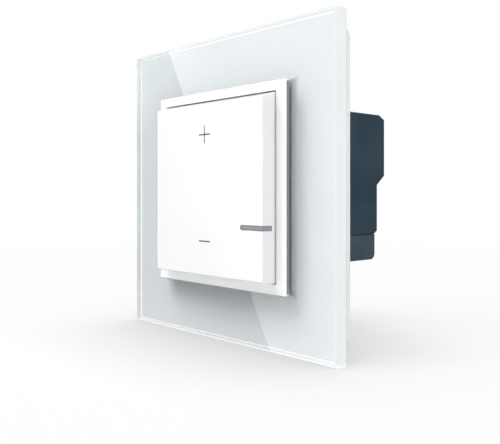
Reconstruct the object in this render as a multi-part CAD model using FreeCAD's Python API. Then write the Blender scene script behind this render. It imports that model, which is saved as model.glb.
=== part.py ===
import FreeCAD, Part
import math
import os

# A flush wall dimmer: a square glass frame, a white surround and a two-way
# rocker in front, and a dark housing that goes into a round wall box behind.
#
# Lengths are in millimetres. X runs to the right as the wall is faced, Z up
# and Y into the wall. The origin is the centre of the two wall screws in the
# plane of the wall, so the front of the dimmer has negative y.

# Wall plate and its screw slots, with a shallow seat pressed into its back
WALL_SCREW_SPACING = 60.0
WALL_SLOT_LENGTH = 8.0
WALL_SLOT_RADIUS = 2.0
SCREW_TO_PLATE_EDGE = 5.3
PLATE_THICK = 1.2
PLATE_CORNER = 3.0
PLATE_SEAT = 0.2
PLATE_SEAT_MARGIN = 0.25

# Glass panel
GLASS_OVERHANG = 4.7
GLASS_THICK = 4.0
GLASS_CHAMFER = 0.4
GLASS_APERTURE_CORNER = 1.5

# Moulded carrier that the glass is glued to
CARRIER_DEPTH = 4.4
CARRIER_WALL = 1.5
CARRIER_WEB = 1.4
CARRIER_CORNER = 2.4
CARRIER_CHAMFER = 0.4
CARRIER_RIB = 1.0
CARRIER_COLLAR = 1.2
CARRIER_RIB_SPACING = 14.0
PLATE_CLEARANCE = 0.25

# White surround round the rocker
BEZEL_OVERLAP = 1.2
BEZEL_PROUD = 1.2
BEZEL_CORNER = 1.1
BEZEL_SLOPE_WIDTH = 1.5
BEZEL_SLOPE_DEPTH = 0.3
OPENING_WIDTH = 45.0
OPENING_HEIGHT = 46.3
OPENING_CORNER = 0.5
COLLAR_WALL = 1.1
COLLAR_CLEARANCE = 0.3
SNAP_ARM_WIDTH = 6.0
SNAP_ARM_OFFSET = 10.0
SNAP_ARM_THICK = 1.1
SNAP_BARB = 0.6
SNAP_ARM_REACH = 2.0
SNAP_SLOT_CLEARANCE = 0.25
SNAP_BARB_GAP = 0.1

# Rocker
ROCKER_SIDE_GAP = 0.35
ROCKER_SIDE_DRAFT = 0.35
ROCKER_TOP_GAP = 0.35
ROCKER_BOTTOM_GAP = 0.2
ROCKER_TOP_SLOPE = 1.1
ROCKER_BOTTOM_SLOPE = 0.3
ROCKER_PROUD = 3.65
ROCKER_WALL = 1.4
ROCKER_EDGE_ROUND = 0.45
ROCKER_RIB = 1.0
ROCKER_RIB_DEPTH = 1.5
ROCKER_RIB_SPACING = 8.0
ROCKER_TILT_DEG = 2.5
SKIRT_STOP_GAP = 0.4
PIVOT_DEPTH = 7.25
PIVOT_RADIUS = 1.2
PIVOT_CLEARANCE = 0.05
LUG_INSET = 7.05
LUG_THICK = 2.0
LUG_ROUND = 2.2
LUG_TO_EAR = 0.4
EAR_THICK = 2.0
EAR_ROUND = 2.6
PIN_REACH = 1.8

# Light guide in the rocker, and the pipe that feeds it
GUIDE_HEIGHT = 1.3
GUIDE_Z = -9.7
GUIDE_LENGTH = 8.2
GUIDE_SIDE_DEPTH = 2.7
GUIDE_LEG = 2.0
PIPE_RADIUS = 1.1
PIPE_COLLAR_RADIUS = 1.5
PIPE_COLLAR = 0.8
PIPE_CLEARANCE = 0.05
LED_SIZE = 2.0
LED_THICK = 0.9
LED_GAP = 0.3

# Cover of the mechanism, behind the rocker
COVER_FLANGE = 1.8
COVER_MARGIN = 0.5
COVER_CORNER = 1.0
COVER_WALL = 1.2
SPIGOT_CLEARANCE = 0.2
PLATE_LEDGE = 0.7
BOSS_TO_OPENING = 1.3

# Switches that the rocker presses
SWITCH_OFFSET = 13.0
SWITCH_SIZE = 7.0
SWITCH_LID = 0.4
SWITCH_LID_CORNER = 0.5
SWITCH_HEIGHT = 5.7
SWITCH_FLOOR = 1.0
SWITCH_CAVITY_RADIUS = 2.7
STEM_RADIUS = 1.4
STEM_CLEARANCE = 0.3
STEM_CHAMFER = 0.3
STEM_COLLAR_RADIUS = 2.5
STEM_COLLAR = 0.8
STEM_COLLAR_TRAVEL = 0.8
STEM_TO_NOSE = 0.05
NOSE_RADIUS = 1.3
NOSE_LENGTH = 4.0
NOSE_HEIGHT = 2.7
SPRING_WIRE = 0.34
SPRING_RADIUS = 1.9
SPRING_TURNS = 3.5

# Circuit boards
BOARD_THICK = 1.6
CONTROL_BOARD_Y = 6.0
BOARD_SPACING = 4.4
BOARD_EDGE_GAP = 0.6
BOARD_END_GAP = 0.5

# Rear housing, drawn by its side outline
HOUSING_INSET = 1.2
HOUSING_TOP = 20.6
HOUSING_BOTTOM = -19.7
TOP_SLANT_Y = 2.3
TOP_SLANT_Z = 1.2
DEEP_PART_Z = 3.5
STEP_Y = 3.3
STEP_Z = 2.65
SMALL_STEP_Y = 1.4
SMALL_STEP_Z = 0.9
BLOCK_HEIGHT = 6.9
BLOCK_TO_BOARD = 2.4
BLOCK_FRONT_WALL = 1.8
BLOCK_BOTTOM_ROUND = 1.7
HOUSING_WALL = 1.6
HOUSING_EDGE_ROUND = 0.5
BOSS_RADIUS = 2.6
BOSS_LENGTH = 11.6
BOSS_FLOOR = 1.0
RAIL_WIDTH = 1.9
RAIL_HEIGHT = 10.0
REAR_RIB_HEIGHT = 2.0
REAR_RIB_LENGTH = 8.0
REAR_RIB_WIDTH = 1.2

# Screws that hold cover, plate and housing together
SCREW_INSET = 3.2
SCREW_RADIUS = 1.0
SCREW_HEAD_RADIUS = 1.9
SCREW_LENGTH = 12.0
SCREW_CLEARANCE = 0.05
SCREW_SLOT = 0.5
SCREW_TIP = 0.2

# Terminals
TERMINAL_COUNT = 3
TERMINAL_HEIGHT = 4.3
TERMINAL_SIDE_WALL = 2.1
CLAMP_TRAVEL = 1.5
WIRE_BORE_RADIUS = 1.35
WIRE_LEAD_IN = 0.4
WIRE_SPACE = 2.8
BLOCK_FLOOR = 1.8
BLOCK_ROOF = 1.0
BLOCK_PLUG_HEIGHT = 3.9
BLOCK_PLUG_INSET = 1.4
BLOCK_PLUG_START = 1.0
BLOCK_PLUG_END = 2.2
BLOCK_PLUG_CLEARANCE = 0.15
DRIVER_BORE_RADIUS = 1.6
DRIVER_WALL = 1.2
HEAD_THICK = 1.2
HEAD_RADIUS = 2.2
HEAD_GAP = 0.1
HEAD_CLEARANCE = 0.3
SHOULDER_WALL = 1.0
CLAMP_SCREW_RADIUS = 1.45
CLAMP_THREAD_CLEARANCE = 0.05
CLAMP_SHANK_CLEARANCE = 0.25
CLAMP_SLOT_WIDTH = 0.6
CLAMP_SLOT_DEPTH = 0.5
CLAMP_HEAD_ROUND = 0.25
CAGE_THREAD_WALL = 1.2
CAGE_WALL = 0.8
CAGE_ROUND = 0.6
CAGE_HALF_WIDTH = 3.4
CAGE_HEIGHT = 5.4
CAGE_GAP = 0.2
CAGE_SIDE_GAP = 0.3
BAR_THICK = 0.8
BAR_HALF_WIDTH = 2.3
BAR_GAP = 0.05
LEG_WIDTH = 2.0
LEG_CLEARANCE = 0.1
LEG_BELOW_ROOF = 0.2
LEG_STICKS_OUT = 0.4

# Parts on the power board: their sizes and the gaps between them
CHOKE_TO_ROOF = 1.5
CHOKE_TO_FILM_CAP = 1.6
CHOKE_TO_TRANSISTORS = 1.8
CHOKE_HEIGHT = 12.4
CHOKE_FLANGE = 1.4
CHOKE_HUB_RADIUS = 3.0
WINDING_INSET = 0.9
WINDING_TURNS = 8
FILM_CAP_TO_WALL = 1.8
FILM_CAP_TO_ROOF = 1.3
FILM_CAP_HEIGHT = 6.6
FILM_CAP_DEPTH = 12.0
FILM_CAP_ROUND = 0.8
CAN_TO_WALL = 2.3
CAN_TO_FILM_CAP = 2.7
CAN_ROUND = 0.6
CAN_CRIMP_HEIGHT = 2.0
CAN_RADIUS = 4.0
CAN_DEPTH = 13.0
CAN_CRIMP = 0.35
FUSE_X = 5.5
FUSE_TO_BLOCK = 2.35
FUSE_FOOT = 0.8
FUSE_LENGTH = 9.0
FUSE_RADIUS = 1.7
FUSE_CAP_LENGTH = 1.8
FUSE_CAP_EXTRA = 0.25
FUSE_STANDOFF = 0.6
VARISTOR_X = -4.6
VARISTOR_TO_BLOCK = 1.3
VARISTOR_STANDOFF = 1.0
VARISTOR_ROUND = 0.9
VARISTOR_WIRE_RADIUS = 0.4
VARISTOR_WIRE_SPACING = 5.0
VARISTOR_RADIUS = 4.4
VARISTOR_THICK = 3.2
TRANSISTOR_SPACING = 11.4
TRANSISTOR_CHAMFER = 0.5
TRANSISTOR_WIDTH = 9.6
TRANSISTOR_DEPTH = 9.0
TRANSISTOR_THICK = 4.2
TRANSISTOR_LEG_LENGTH = 3.0
TRANSISTOR_LEG = 0.7
TRANSISTOR_LEG_PITCH = 2.54
SPREADER_THICK = 1.0
SPREADER_TO_ROOF = 2.4
SPREADER_TO_BLOCK = 3.5
SPREADER_DEPTH = 14.0
SPREADER_FOOT = 4.0
SPREADER_GAP = 0.8
CHIP_SIZE = 7.0
CHIP_THICK = 1.4
CHIP_X = -8.0
CHIP_Z = 2.0
CHIP_CORNER = 0.5
CONNECTOR_WIDTH = 12.7
CONNECTOR_HEIGHT = 5.0
CONNECTOR_X = 6.0
CONNECTOR_Z = -2.0
CONNECTOR_PIN_PITCH = 2.54
CONNECTOR_NOTCH_WALL = 1.0

# Places that follow from the sizes above
PLATE_SIZE = WALL_SCREW_SPACING + 2 * SCREW_TO_PLATE_EDGE
GLASS_SIZE = PLATE_SIZE + 2 * GLASS_OVERHANG
GLASS_APERTURE = max(OPENING_WIDTH, OPENING_HEIGHT) + 2 * (COLLAR_WALL + COLLAR_CLEARANCE)
GLASS_BACK = -CARRIER_DEPTH
GLASS_FRONT = GLASS_BACK - GLASS_THICK
BEZEL_SIZE = GLASS_APERTURE + 2 * BEZEL_OVERLAP
BEZEL_FRONT = GLASS_FRONT - BEZEL_PROUD
ROCKER_SKIRT_WIDTH = OPENING_WIDTH - 2 * ROCKER_SIDE_GAP
ROCKER_WIDTH = ROCKER_SKIRT_WIDTH - 2 * ROCKER_SIDE_DRAFT
ROCKER_SKIRT_TOP = OPENING_HEIGHT / 2 - ROCKER_TOP_GAP
ROCKER_SKIRT_BOTTOM = ROCKER_BOTTOM_GAP - OPENING_HEIGHT / 2
ROCKER_FRONT_TOP = ROCKER_SKIRT_TOP - ROCKER_TOP_SLOPE
ROCKER_FRONT_BOTTOM = ROCKER_SKIRT_BOTTOM + ROCKER_BOTTOM_SLOPE
ROCKER_FRONT = BEZEL_FRONT - ROCKER_PROUD
CARRIER_HALF = PLATE_SIZE / 2 + PLATE_CLEARANCE + CARRIER_WALL
COLLAR_HALF = GLASS_APERTURE / 2 - COLLAR_CLEARANCE
SNAP_ARM_LOW = COLLAR_HALF - SNAP_ARM_THICK
SEAT_HALF = COLLAR_HALF + SNAP_BARB + PLATE_SEAT_MARGIN
LUG_OFFSET = ROCKER_WIDTH / 2 - LUG_INSET
GUIDE_START = ROCKER_WIDTH / 2 - GUIDE_LENGTH
COVER_FRONT = -PLATE_THICK - COVER_FLANGE
COVER_HALF_WIDTH = OPENING_WIDTH / 2 - COVER_MARGIN
COVER_HALF_HEIGHT = OPENING_HEIGHT / 2 - COVER_MARGIN
PIVOT_Y = ROCKER_FRONT + PIVOT_DEPTH
TILT = math.radians(ROCKER_TILT_DEG)
SKIRT_DROP = max(ROCKER_SKIRT_TOP, -ROCKER_SKIRT_BOTTOM) * math.sin(TILT)
ROCKER_BACK = COVER_FRONT - SKIRT_DROP - SKIRT_STOP_GAP
ROCKER_INSIDE = ROCKER_FRONT + ROCKER_WALL
NOSE_TIP = ROCKER_INSIDE + NOSE_HEIGHT
CONTROL_BOARD_BACK = CONTROL_BOARD_Y + BOARD_THICK
POWER_BOARD_Y = CONTROL_BOARD_BACK + BOARD_SPACING
POWER_BOARD_BACK = POWER_BOARD_Y + BOARD_THICK
SWITCH_FRONT = CONTROL_BOARD_Y - SWITCH_HEIGHT
STEM_COLLAR_FRONT = SWITCH_FRONT + STEM_COLLAR_TRAVEL
HOUSING_HALF_WIDTH = COVER_HALF_WIDTH - HOUSING_INSET
INNER_HALF_WIDTH = HOUSING_HALF_WIDTH - HOUSING_WALL
INNER_TOP = HOUSING_TOP - HOUSING_WALL
INNER_BOTTOM = HOUSING_BOTTOM + HOUSING_WALL
SCREW_X = HOUSING_HALF_WIDTH - SCREW_INSET
SCREW_Z_TOP = HOUSING_TOP - SCREW_INSET
SCREW_Z_BOTTOM = HOUSING_BOTTOM + SCREW_INSET
MIDDLE_HALF_WIDTH = INNER_HALF_WIDTH - PLATE_LEDGE
MIDDLE_HALF_HEIGHT = min(SCREW_Z_TOP, -SCREW_Z_BOTTOM) - BOSS_RADIUS - PLATE_LEDGE
ENDS_HALF_WIDTH = SCREW_X - BOSS_RADIUS - BOSS_TO_OPENING
ENDS_HALF_HEIGHT = min(INNER_TOP, -INNER_BOTTOM)
BOARD_HALF_WIDTH = INNER_HALF_WIDTH - BOARD_EDGE_GAP
BLOCK_TOP = HOUSING_BOTTOM + BLOCK_HEIGHT
BLOCK_PLUG_TOP = BLOCK_TOP + BLOCK_PLUG_HEIGHT
BLOCK_PLUG_HALF_WIDTH = INNER_HALF_WIDTH - BLOCK_PLUG_INSET
TERMINAL_Z = HOUSING_BOTTOM + TERMINAL_HEIGHT
TERMINAL_SPREAD = BLOCK_PLUG_HALF_WIDTH - TERMINAL_SIDE_WALL - CAGE_SIDE_GAP - CAGE_HALF_WIDTH
BLOCK_START = POWER_BOARD_BACK + BLOCK_TO_BOARD
CHAMBER_START = BLOCK_START + BLOCK_FRONT_WALL
CAGE_START = CHAMBER_START + CAGE_GAP
BAR_FRONT = CAGE_START + CAGE_WALL + WIRE_SPACE
BAR_BACK = BAR_FRONT + BAR_THICK
WIRE_Y = BAR_FRONT - WIRE_SPACE / 2
CAGE_END = BAR_BACK + CLAMP_TRAVEL / 3 + BAR_THICK + CAGE_GAP + CAGE_THREAD_WALL
SHOULDER_FRONT = CAGE_END + CLAMP_TRAVEL + CAGE_GAP
HEAD_FRONT = SHOULDER_FRONT + SHOULDER_WALL + HEAD_GAP
BLOCK_END = HEAD_FRONT + HEAD_THICK + HEAD_GAP + DRIVER_WALL
SHALLOW_DEPTH = BLOCK_END + SMALL_STEP_Y
HOUSING_DEPTH = SHALLOW_DEPTH + STEP_Y
CHAMBER_TOP = BLOCK_PLUG_TOP - BLOCK_ROOF
CHAMBER_BOTTOM = HOUSING_BOTTOM + BLOCK_FLOOR
CAGE_BOTTOM = CHAMBER_BOTTOM + CAGE_GAP
CAGE_TOP = CAGE_BOTTOM + CAGE_HEIGHT
LEG_TOP = CHAMBER_TOP - LEG_BELOW_ROOF
PLUG_FRONT = BLOCK_START + BLOCK_PLUG_START
PLUG_BACK = BLOCK_END - BLOCK_PLUG_END
SPREADER_X = -BOARD_HALF_WIDTH + SPREADER_GAP
CHOKE_AND_CAP_WIDTH = (INNER_HALF_WIDTH - FILM_CAP_TO_WALL - CHOKE_TO_FILM_CAP
                       - CHOKE_TO_TRANSISTORS - SPREADER_X - SPREADER_THICK - TRANSISTOR_THICK)
FILM_CAP_WIDTH = CHOKE_AND_CAP_WIDTH / 2
CHOKE_RADIUS = FILM_CAP_WIDTH / 2
WINDING_RADIUS = CHOKE_RADIUS - WINDING_INSET
FILM_CAP_X = INNER_HALF_WIDTH - FILM_CAP_TO_WALL - FILM_CAP_WIDTH / 2
FILM_CAP_Z = INNER_TOP - FILM_CAP_TO_ROOF - FILM_CAP_HEIGHT / 2
CHOKE_X = FILM_CAP_X - FILM_CAP_WIDTH / 2 - CHOKE_TO_FILM_CAP - CHOKE_RADIUS
CHOKE_Z = INNER_TOP - CHOKE_TO_ROOF - CHOKE_RADIUS
CAN_X = INNER_HALF_WIDTH - CAN_TO_WALL - CAN_RADIUS
CAN_Z = FILM_CAP_Z - FILM_CAP_HEIGHT / 2 - CAN_TO_FILM_CAP - CAN_RADIUS
FUSE_CAP_RADIUS = FUSE_RADIUS + FUSE_CAP_EXTRA
FUSE_Z = BLOCK_PLUG_TOP + FUSE_TO_BLOCK + FUSE_CAP_RADIUS
VARISTOR_Z = BLOCK_PLUG_TOP + VARISTOR_TO_BLOCK + VARISTOR_RADIUS
SPREADER_HEIGHT = INNER_TOP - SPREADER_TO_ROOF - SPREADER_TO_BLOCK - BLOCK_PLUG_TOP
SPREADER_Z = INNER_TOP - SPREADER_TO_ROOF - SPREADER_HEIGHT / 2
PIPE_X = GUIDE_START + GUIDE_HEIGHT / 2 + GUIDE_LEG / 2

# How far a cut runs past a face, how deep a fused piece is rooted in the one
# that carries it, and how near two places are to count as one
PAST = 1.0
ROOT = 0.4
NEAR = 0.01


def vec(x, y, z):
    return FreeCAD.Vector(x, y, z)


def box(x0, x1, y0, y1, z0, z1):
    return Part.makeBox(x1 - x0, y1 - y0, z1 - z0, vec(x0, y0, z0))


def rod_x(radius, x0, x1, y, z):
    return Part.makeCylinder(radius, x1 - x0, vec(x0, y, z), vec(1, 0, 0))


def rod_y(radius, y0, y1, x, z):
    return Part.makeCylinder(radius, y1 - y0, vec(x, y0, z), vec(0, 1, 0))


def rod_z(radius, z0, z1, x, y):
    return Part.makeCylinder(radius, z1 - z0, vec(x, y, z0), vec(0, 0, 1))


def cone_y(radius0, radius1, y0, y1, x, z):
    return Part.makeCone(radius0, radius1, y1 - y0, vec(x, y0, z), vec(0, 1, 0))


def rounded_wire(half_x, half_z, radius, y, x=0.0, z=0.0):
    """A rectangle with round corners that stands parallel to the wall."""
    corners = [(1, 1, 0), (-1, 1, 90), (-1, -1, 180), (1, -1, 270)]
    arcs = []
    for side_x, side_z, start in corners:
        centre_x = x + side_x * (half_x - radius)
        centre_z = z + side_z * (half_z - radius)
        points = []
        for turn in (0, 45, 90):
            angle = math.radians(start + turn)
            points.append(vec(centre_x + radius * math.cos(angle), y,
                              centre_z + radius * math.sin(angle)))
        arcs.append(points)
    edges = []
    for index, points in enumerate(arcs):
        following = arcs[(index + 1) % 4]
        edges.append(Part.Arc(*points).toShape())
        edges.append(Part.makeLine(points[2], following[0]))
    return Part.Wire(edges)


def flat_wire(half_x, z0, z1, y):
    """A plain rectangle that stands parallel to the wall."""
    corners = [vec(-half_x, y, z0), vec(half_x, y, z0), vec(half_x, y, z1), vec(-half_x, y, z1)]
    return Part.makePolygon(corners + corners[:1])


def slab(half_x, half_z, radius, y0, y1, x=0.0, z=0.0):
    face = Part.Face(rounded_wire(half_x, half_z, radius, y0, x, z))
    return face.extrude(vec(0, y1 - y0, 0))


def outline_x(points, half_width):
    """A flat outline of (y, z) points, as wide as the piece across X."""
    corners = [vec(-half_width, y, z) for y, z in points]
    face = Part.Face(Part.makePolygon(corners + corners[:1]))
    return face.extrude(vec(2 * half_width, 0, 0))


def fuse_all(solids):
    first = solids[0]
    rest = solids[1:]
    if not rest:
        return first
    return first.fuse(rest).removeSplitter()


def mirrored(solid):
    """The same solid on the other side of the middle plane, left for right."""
    return solid.mirror(vec(0, 0, 0), vec(1, 0, 0))


def cross_section(half_width, half_height, ends_half_width, ends_half_height, y0, y1):
    """The cross-shaped block that the plate, cover and control board share."""
    middle = box(-half_width, half_width, y0, y1, -half_height, half_height)
    ends = box(-ends_half_width, ends_half_width, y0, y1, -ends_half_height, ends_half_height)
    return middle.fuse(ends).removeSplitter()


def opening_block(margin, y0, y1):
    """The plate's opening, smaller all round by the margin."""
    return cross_section(MIDDLE_HALF_WIDTH - margin, MIDDLE_HALF_HEIGHT - margin,
                         ENDS_HALF_WIDTH - margin, ENDS_HALF_HEIGHT - margin, y0, y1)


def screw_places():
    return [(side * SCREW_X, z) for side in (-1, 1) for z in (SCREW_Z_BOTTOM, SCREW_Z_TOP)]


def terminal_places():
    pitch = 2 * TERMINAL_SPREAD / (TERMINAL_COUNT - 1)
    return [index * pitch - TERMINAL_SPREAD for index in range(TERMINAL_COUNT)]


def edges_where(solid, test):
    return [edge for edge in solid.Edges if test(edge)]


def glass_panel():
    half = GLASS_SIZE / 2
    front = GLASS_FRONT + GLASS_CHAMFER
    back = GLASS_BACK - GLASS_CHAMFER
    inner = half - GLASS_CHAMFER
    profile = [(GLASS_FRONT, inner), (front, half), (back, half), (GLASS_BACK, inner)]
    sections = []
    for y, size in profile:
        corners = [vec(x * size, y, z * size) for x, z in ((-1, -1), (1, -1), (1, 1), (-1, 1))]
        sections.append(Part.makePolygon(corners + corners[:1]))
    panel = Part.makeLoft(sections, True, True)
    hole = slab(GLASS_APERTURE / 2, GLASS_APERTURE / 2, GLASS_APERTURE_CORNER,
                GLASS_FRONT - PAST, GLASS_BACK + PAST)
    return panel.cut(hole)


def glass_carrier():
    """An open tray: outer wall, web behind the glass, collar and ribs."""
    outer = slab(CARRIER_HALF, CARRIER_HALF, CARRIER_CORNER, GLASS_BACK, 0)
    outer = outer.makeChamfer(CARRIER_CHAMFER, edges_where(outer, at_front_of_carrier))
    web_back = GLASS_BACK + CARRIER_WEB
    inner_half = CARRIER_HALF - CARRIER_WALL
    tray = outer.cut(slab(inner_half, inner_half, CARRIER_CORNER - CARRIER_WALL, web_back, PAST))
    collar_half = GLASS_APERTURE / 2 + CARRIER_COLLAR
    collar = slab(collar_half, collar_half, GLASS_APERTURE_CORNER + CARRIER_COLLAR,
                  web_back, -PLATE_THICK)
    ribs = [carrier_rib(side, place, collar_half, inner_half, web_back)
            for side in ("x", "z") for place in carrier_rib_places()]
    body = tray.fuse([collar] + ribs)
    hole = slab(GLASS_APERTURE / 2, GLASS_APERTURE / 2, GLASS_APERTURE_CORNER,
                GLASS_BACK - PAST, PAST)
    return body.cut(hole).removeSplitter()


def at_front_of_carrier(edge):
    return edge.BoundBox.YMax < GLASS_BACK + NEAR


def carrier_rib_places():
    """Two ribs each side of the wall screws, on every side of the collar."""
    return [side * CARRIER_RIB_SPACING * step for side in (-1, 1) for step in (0.5, 1.5)]


def carrier_rib(direction, place, inner, outer, web_back):
    low = place - CARRIER_RIB / 2
    high = place + CARRIER_RIB / 2
    pieces = []
    for side in (-1, 1):
        near, far = sorted((side * inner, side * outer))
        if direction == "x":
            pieces.append(box(near, far, web_back, -PLATE_THICK, low, high))
        else:
            pieces.append(box(low, high, web_back, -PLATE_THICK, near, far))
    return pieces[0].fuse(pieces[1])


def wall_slot(along, side):
    """One slot for a wall screw, long towards the edge of the plate."""
    middle = side * WALL_SCREW_SPACING / 2
    half = WALL_SLOT_LENGTH / 2
    half_x, half_z = (half, WALL_SLOT_RADIUS) if along == "x" else (WALL_SLOT_RADIUS, half)
    x, z = (middle, 0.0) if along == "x" else (0.0, middle)
    straight = half - WALL_SLOT_RADIUS
    flat_x = half_x if along == "z" else straight
    flat_z = half_z if along == "x" else straight
    pieces = [box(x - flat_x, x + flat_x, -PLATE_THICK - PAST, PAST, z - flat_z, z + flat_z)]
    for end in (-straight, straight):
        end_x = x + (end if along == "x" else 0.0)
        end_z = z + (end if along == "z" else 0.0)
        pieces.append(rod_y(WALL_SLOT_RADIUS, -PLATE_THICK - PAST, PAST, end_x, end_z))
    return fuse_all(pieces)


def snap_slots():
    low = SNAP_ARM_LOW - SNAP_SLOT_CLEARANCE
    high = SNAP_ARM_LOW + SNAP_ARM_THICK + SNAP_SLOT_CLEARANCE
    half = SNAP_ARM_WIDTH / 2 + SNAP_SLOT_CLEARANCE
    slots = []
    for x in (-SNAP_ARM_OFFSET, SNAP_ARM_OFFSET):
        slots.append(box(x - half, x + half, -PLATE_THICK - PAST, PAST, low, high))
        slots.append(box(x - half, x + half, -PLATE_THICK - PAST, PAST, -high, -low))
    return slots


def support_plate():
    half = PLATE_SIZE / 2
    plate = slab(half, half, PLATE_CORNER, -PLATE_THICK, 0)
    cuts = [opening_block(0.0, -PLATE_THICK - PAST, PAST)]
    cuts += [wall_slot(along, side) for along in ("x", "z") for side in (-1, 1)]
    cuts += snap_slots()
    cuts.append(slab(SEAT_HALF, SEAT_HALF, PLATE_CORNER, -PLATE_SEAT, PAST))
    cuts += [rod_y(SCREW_RADIUS + SCREW_CLEARANCE, -PLATE_THICK - PAST, PAST, x, z)
             for x, z in screw_places()]
    return plate.cut(cuts)


def inner_bezel():
    """The white surround, its collar through the glass and four snap arms."""
    half = BEZEL_SIZE / 2
    crown = BEZEL_FRONT + BEZEL_SLOPE_DEPTH
    flat = half - BEZEL_SLOPE_WIDTH
    slope = Part.makeLoft([rounded_wire(half, half, BEZEL_CORNER, crown),
                           rounded_wire(flat, flat, BEZEL_CORNER, BEZEL_FRONT)], True, True)
    rim = slab(half, half, BEZEL_CORNER, crown, GLASS_FRONT)
    collar = slab(COLLAR_HALF, COLLAR_HALF, GLASS_APERTURE_CORNER - COLLAR_CLEARANCE,
                  GLASS_FRONT, -PLATE_THICK)
    arms = [snap_arm(x, side) for x in (-SNAP_ARM_OFFSET, SNAP_ARM_OFFSET) for side in (-1, 1)]
    body = slope.fuse([rim, collar])
    hole = slab(OPENING_WIDTH / 2, OPENING_HEIGHT / 2, OPENING_CORNER, BEZEL_FRONT - PAST, PAST)
    return body.cut(hole).fuse(arms).removeSplitter()


def snap_arm(x, side):
    """An arm with a barb that catches behind the wall plate."""
    low = SNAP_ARM_LOW
    high = low + SNAP_ARM_THICK
    catch = SNAP_BARB_GAP - PLATE_SEAT
    points = [(-PLATE_THICK - ROOT, low), (SNAP_ARM_REACH, low),
              (SNAP_ARM_REACH, high - SNAP_BARB / 2), (catch, high + SNAP_BARB),
              (catch, high), (-PLATE_THICK - ROOT, high)]
    if side < 0:
        points = [(y, -z) for y, z in points]
    arm = outline_x(points, SNAP_ARM_WIDTH / 2)
    arm.translate(vec(x, 0, 0))
    return arm


def rocker_block():
    """The solid block that the rocker's outside follows, sides sloped and edges rounded."""
    half = ROCKER_SKIRT_WIDTH / 2
    front = flat_wire(ROCKER_WIDTH / 2, ROCKER_FRONT_BOTTOM, ROCKER_FRONT_TOP, ROCKER_FRONT)
    shoulder = flat_wire(half, ROCKER_SKIRT_BOTTOM, ROCKER_SKIRT_TOP, BEZEL_FRONT)
    head = Part.makeLoft([front, shoulder], True, True)
    skirt = box(-half, half, BEZEL_FRONT, ROCKER_BACK, ROCKER_SKIRT_BOTTOM, ROCKER_SKIRT_TOP)
    block = fuse_all([head, skirt])
    edges = edges_where(block, lambda edge: edge.BoundBox.YMax < BEZEL_FRONT + NEAR)
    return block.makeFillet(ROCKER_EDGE_ROUND, edges)


def rocker_room():
    """The room inside the rocker's shell, open to the back."""
    low = ROCKER_SKIRT_BOTTOM + ROCKER_WALL
    high = ROCKER_SKIRT_TOP - ROCKER_WALL
    front_low = ROCKER_FRONT_BOTTOM + ROCKER_WALL
    front_high = ROCKER_FRONT_TOP - ROCKER_WALL
    back = ROCKER_BACK + PAST
    return outline_x([(back, low), (BEZEL_FRONT, low), (ROCKER_INSIDE, front_low),
                      (ROCKER_INSIDE, front_high), (BEZEL_FRONT, high), (back, high)],
                     ROCKER_WIDTH / 2 - ROCKER_WALL)


def rocker_lug():
    """A lug inside the rocker, with the pin that turns in the cover's ear."""
    x1 = LUG_OFFSET + LUG_THICK
    lug = box(LUG_OFFSET, x1, ROCKER_INSIDE - ROOT, PIVOT_Y, -LUG_ROUND, LUG_ROUND)
    tip = rod_x(LUG_ROUND, LUG_OFFSET, x1, PIVOT_Y, 0)
    pin = rod_x(PIVOT_RADIUS, x1 - ROOT, x1 + LUG_TO_EAR + PIN_REACH, PIVOT_Y, 0)
    return fuse_all([lug, tip, pin])


def rocker_nose(side):
    """A rib with a round nose that rests on a switch's stem."""
    z = side * SWITCH_OFFSET
    centre = NOSE_TIP - NOSE_RADIUS
    half = NOSE_LENGTH / 2
    rib = box(-half, half, ROCKER_INSIDE - ROOT, centre, z - NOSE_RADIUS, z + NOSE_RADIUS)
    return rib.fuse(rod_x(NOSE_RADIUS, -half, half, centre, z))


def rocker_ribs():
    """Stiffening ribs on the back of the rocker's front wall."""
    half_width = ROCKER_WIDTH / 2 - ROCKER_WALL
    back = ROCKER_INSIDE + ROCKER_RIB_DEPTH
    low = ROCKER_FRONT_BOTTOM + ROCKER_WALL
    high = ROCKER_FRONT_TOP - ROCKER_WALL
    ribs = []
    for step in (-1, 0, 1):
        place = step * ROCKER_RIB_SPACING
        ribs.append(box(place - ROCKER_RIB / 2, place + ROCKER_RIB / 2,
                        ROCKER_INSIDE - ROOT, back, low - ROOT, high + ROOT))
    for side in (-1, 1):
        place = side * SWITCH_OFFSET
        ribs.append(box(-half_width - ROOT, half_width + ROOT, ROCKER_INSIDE - ROOT, back,
                        place - ROCKER_RIB / 2, place + ROCKER_RIB / 2))
    return ribs


def guide_slot():
    """The room for the light guide: front bar, side bar and leg inwards."""
    half = GUIDE_HEIGHT / 2
    side = ROCKER_WIDTH / 2
    bar = box(GUIDE_START + half, side + PAST, ROCKER_FRONT - PAST, ROCKER_INSIDE,
              GUIDE_Z - half, GUIDE_Z + half)
    end = rod_y(half, ROCKER_FRONT - PAST, ROCKER_INSIDE, GUIDE_START + half, GUIDE_Z)
    wall = box(side - ROCKER_WALL, side + PAST, ROCKER_FRONT - PAST,
               ROCKER_FRONT + GUIDE_SIDE_DEPTH, GUIDE_Z - half, GUIDE_Z + half)
    return fuse_all([bar, end, wall])


def light_guide():
    half = GUIDE_HEIGHT / 2
    seen = guide_slot().common(rocker_block())
    leg_start = GUIDE_START + half
    leg = box(leg_start, leg_start + GUIDE_LEG, ROCKER_INSIDE - ROOT, ROCKER_BACK,
              GUIDE_Z - half, GUIDE_Z + half)
    return fuse_all([seen, leg])


def rocker():
    shell = rocker_block().cut(rocker_room())
    lug = rocker_lug()
    pieces = [lug, mirrored(lug), rocker_nose(-1), rocker_nose(1)] + rocker_ribs()
    return shell.fuse(pieces).cut(guide_slot()).removeSplitter()


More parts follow.
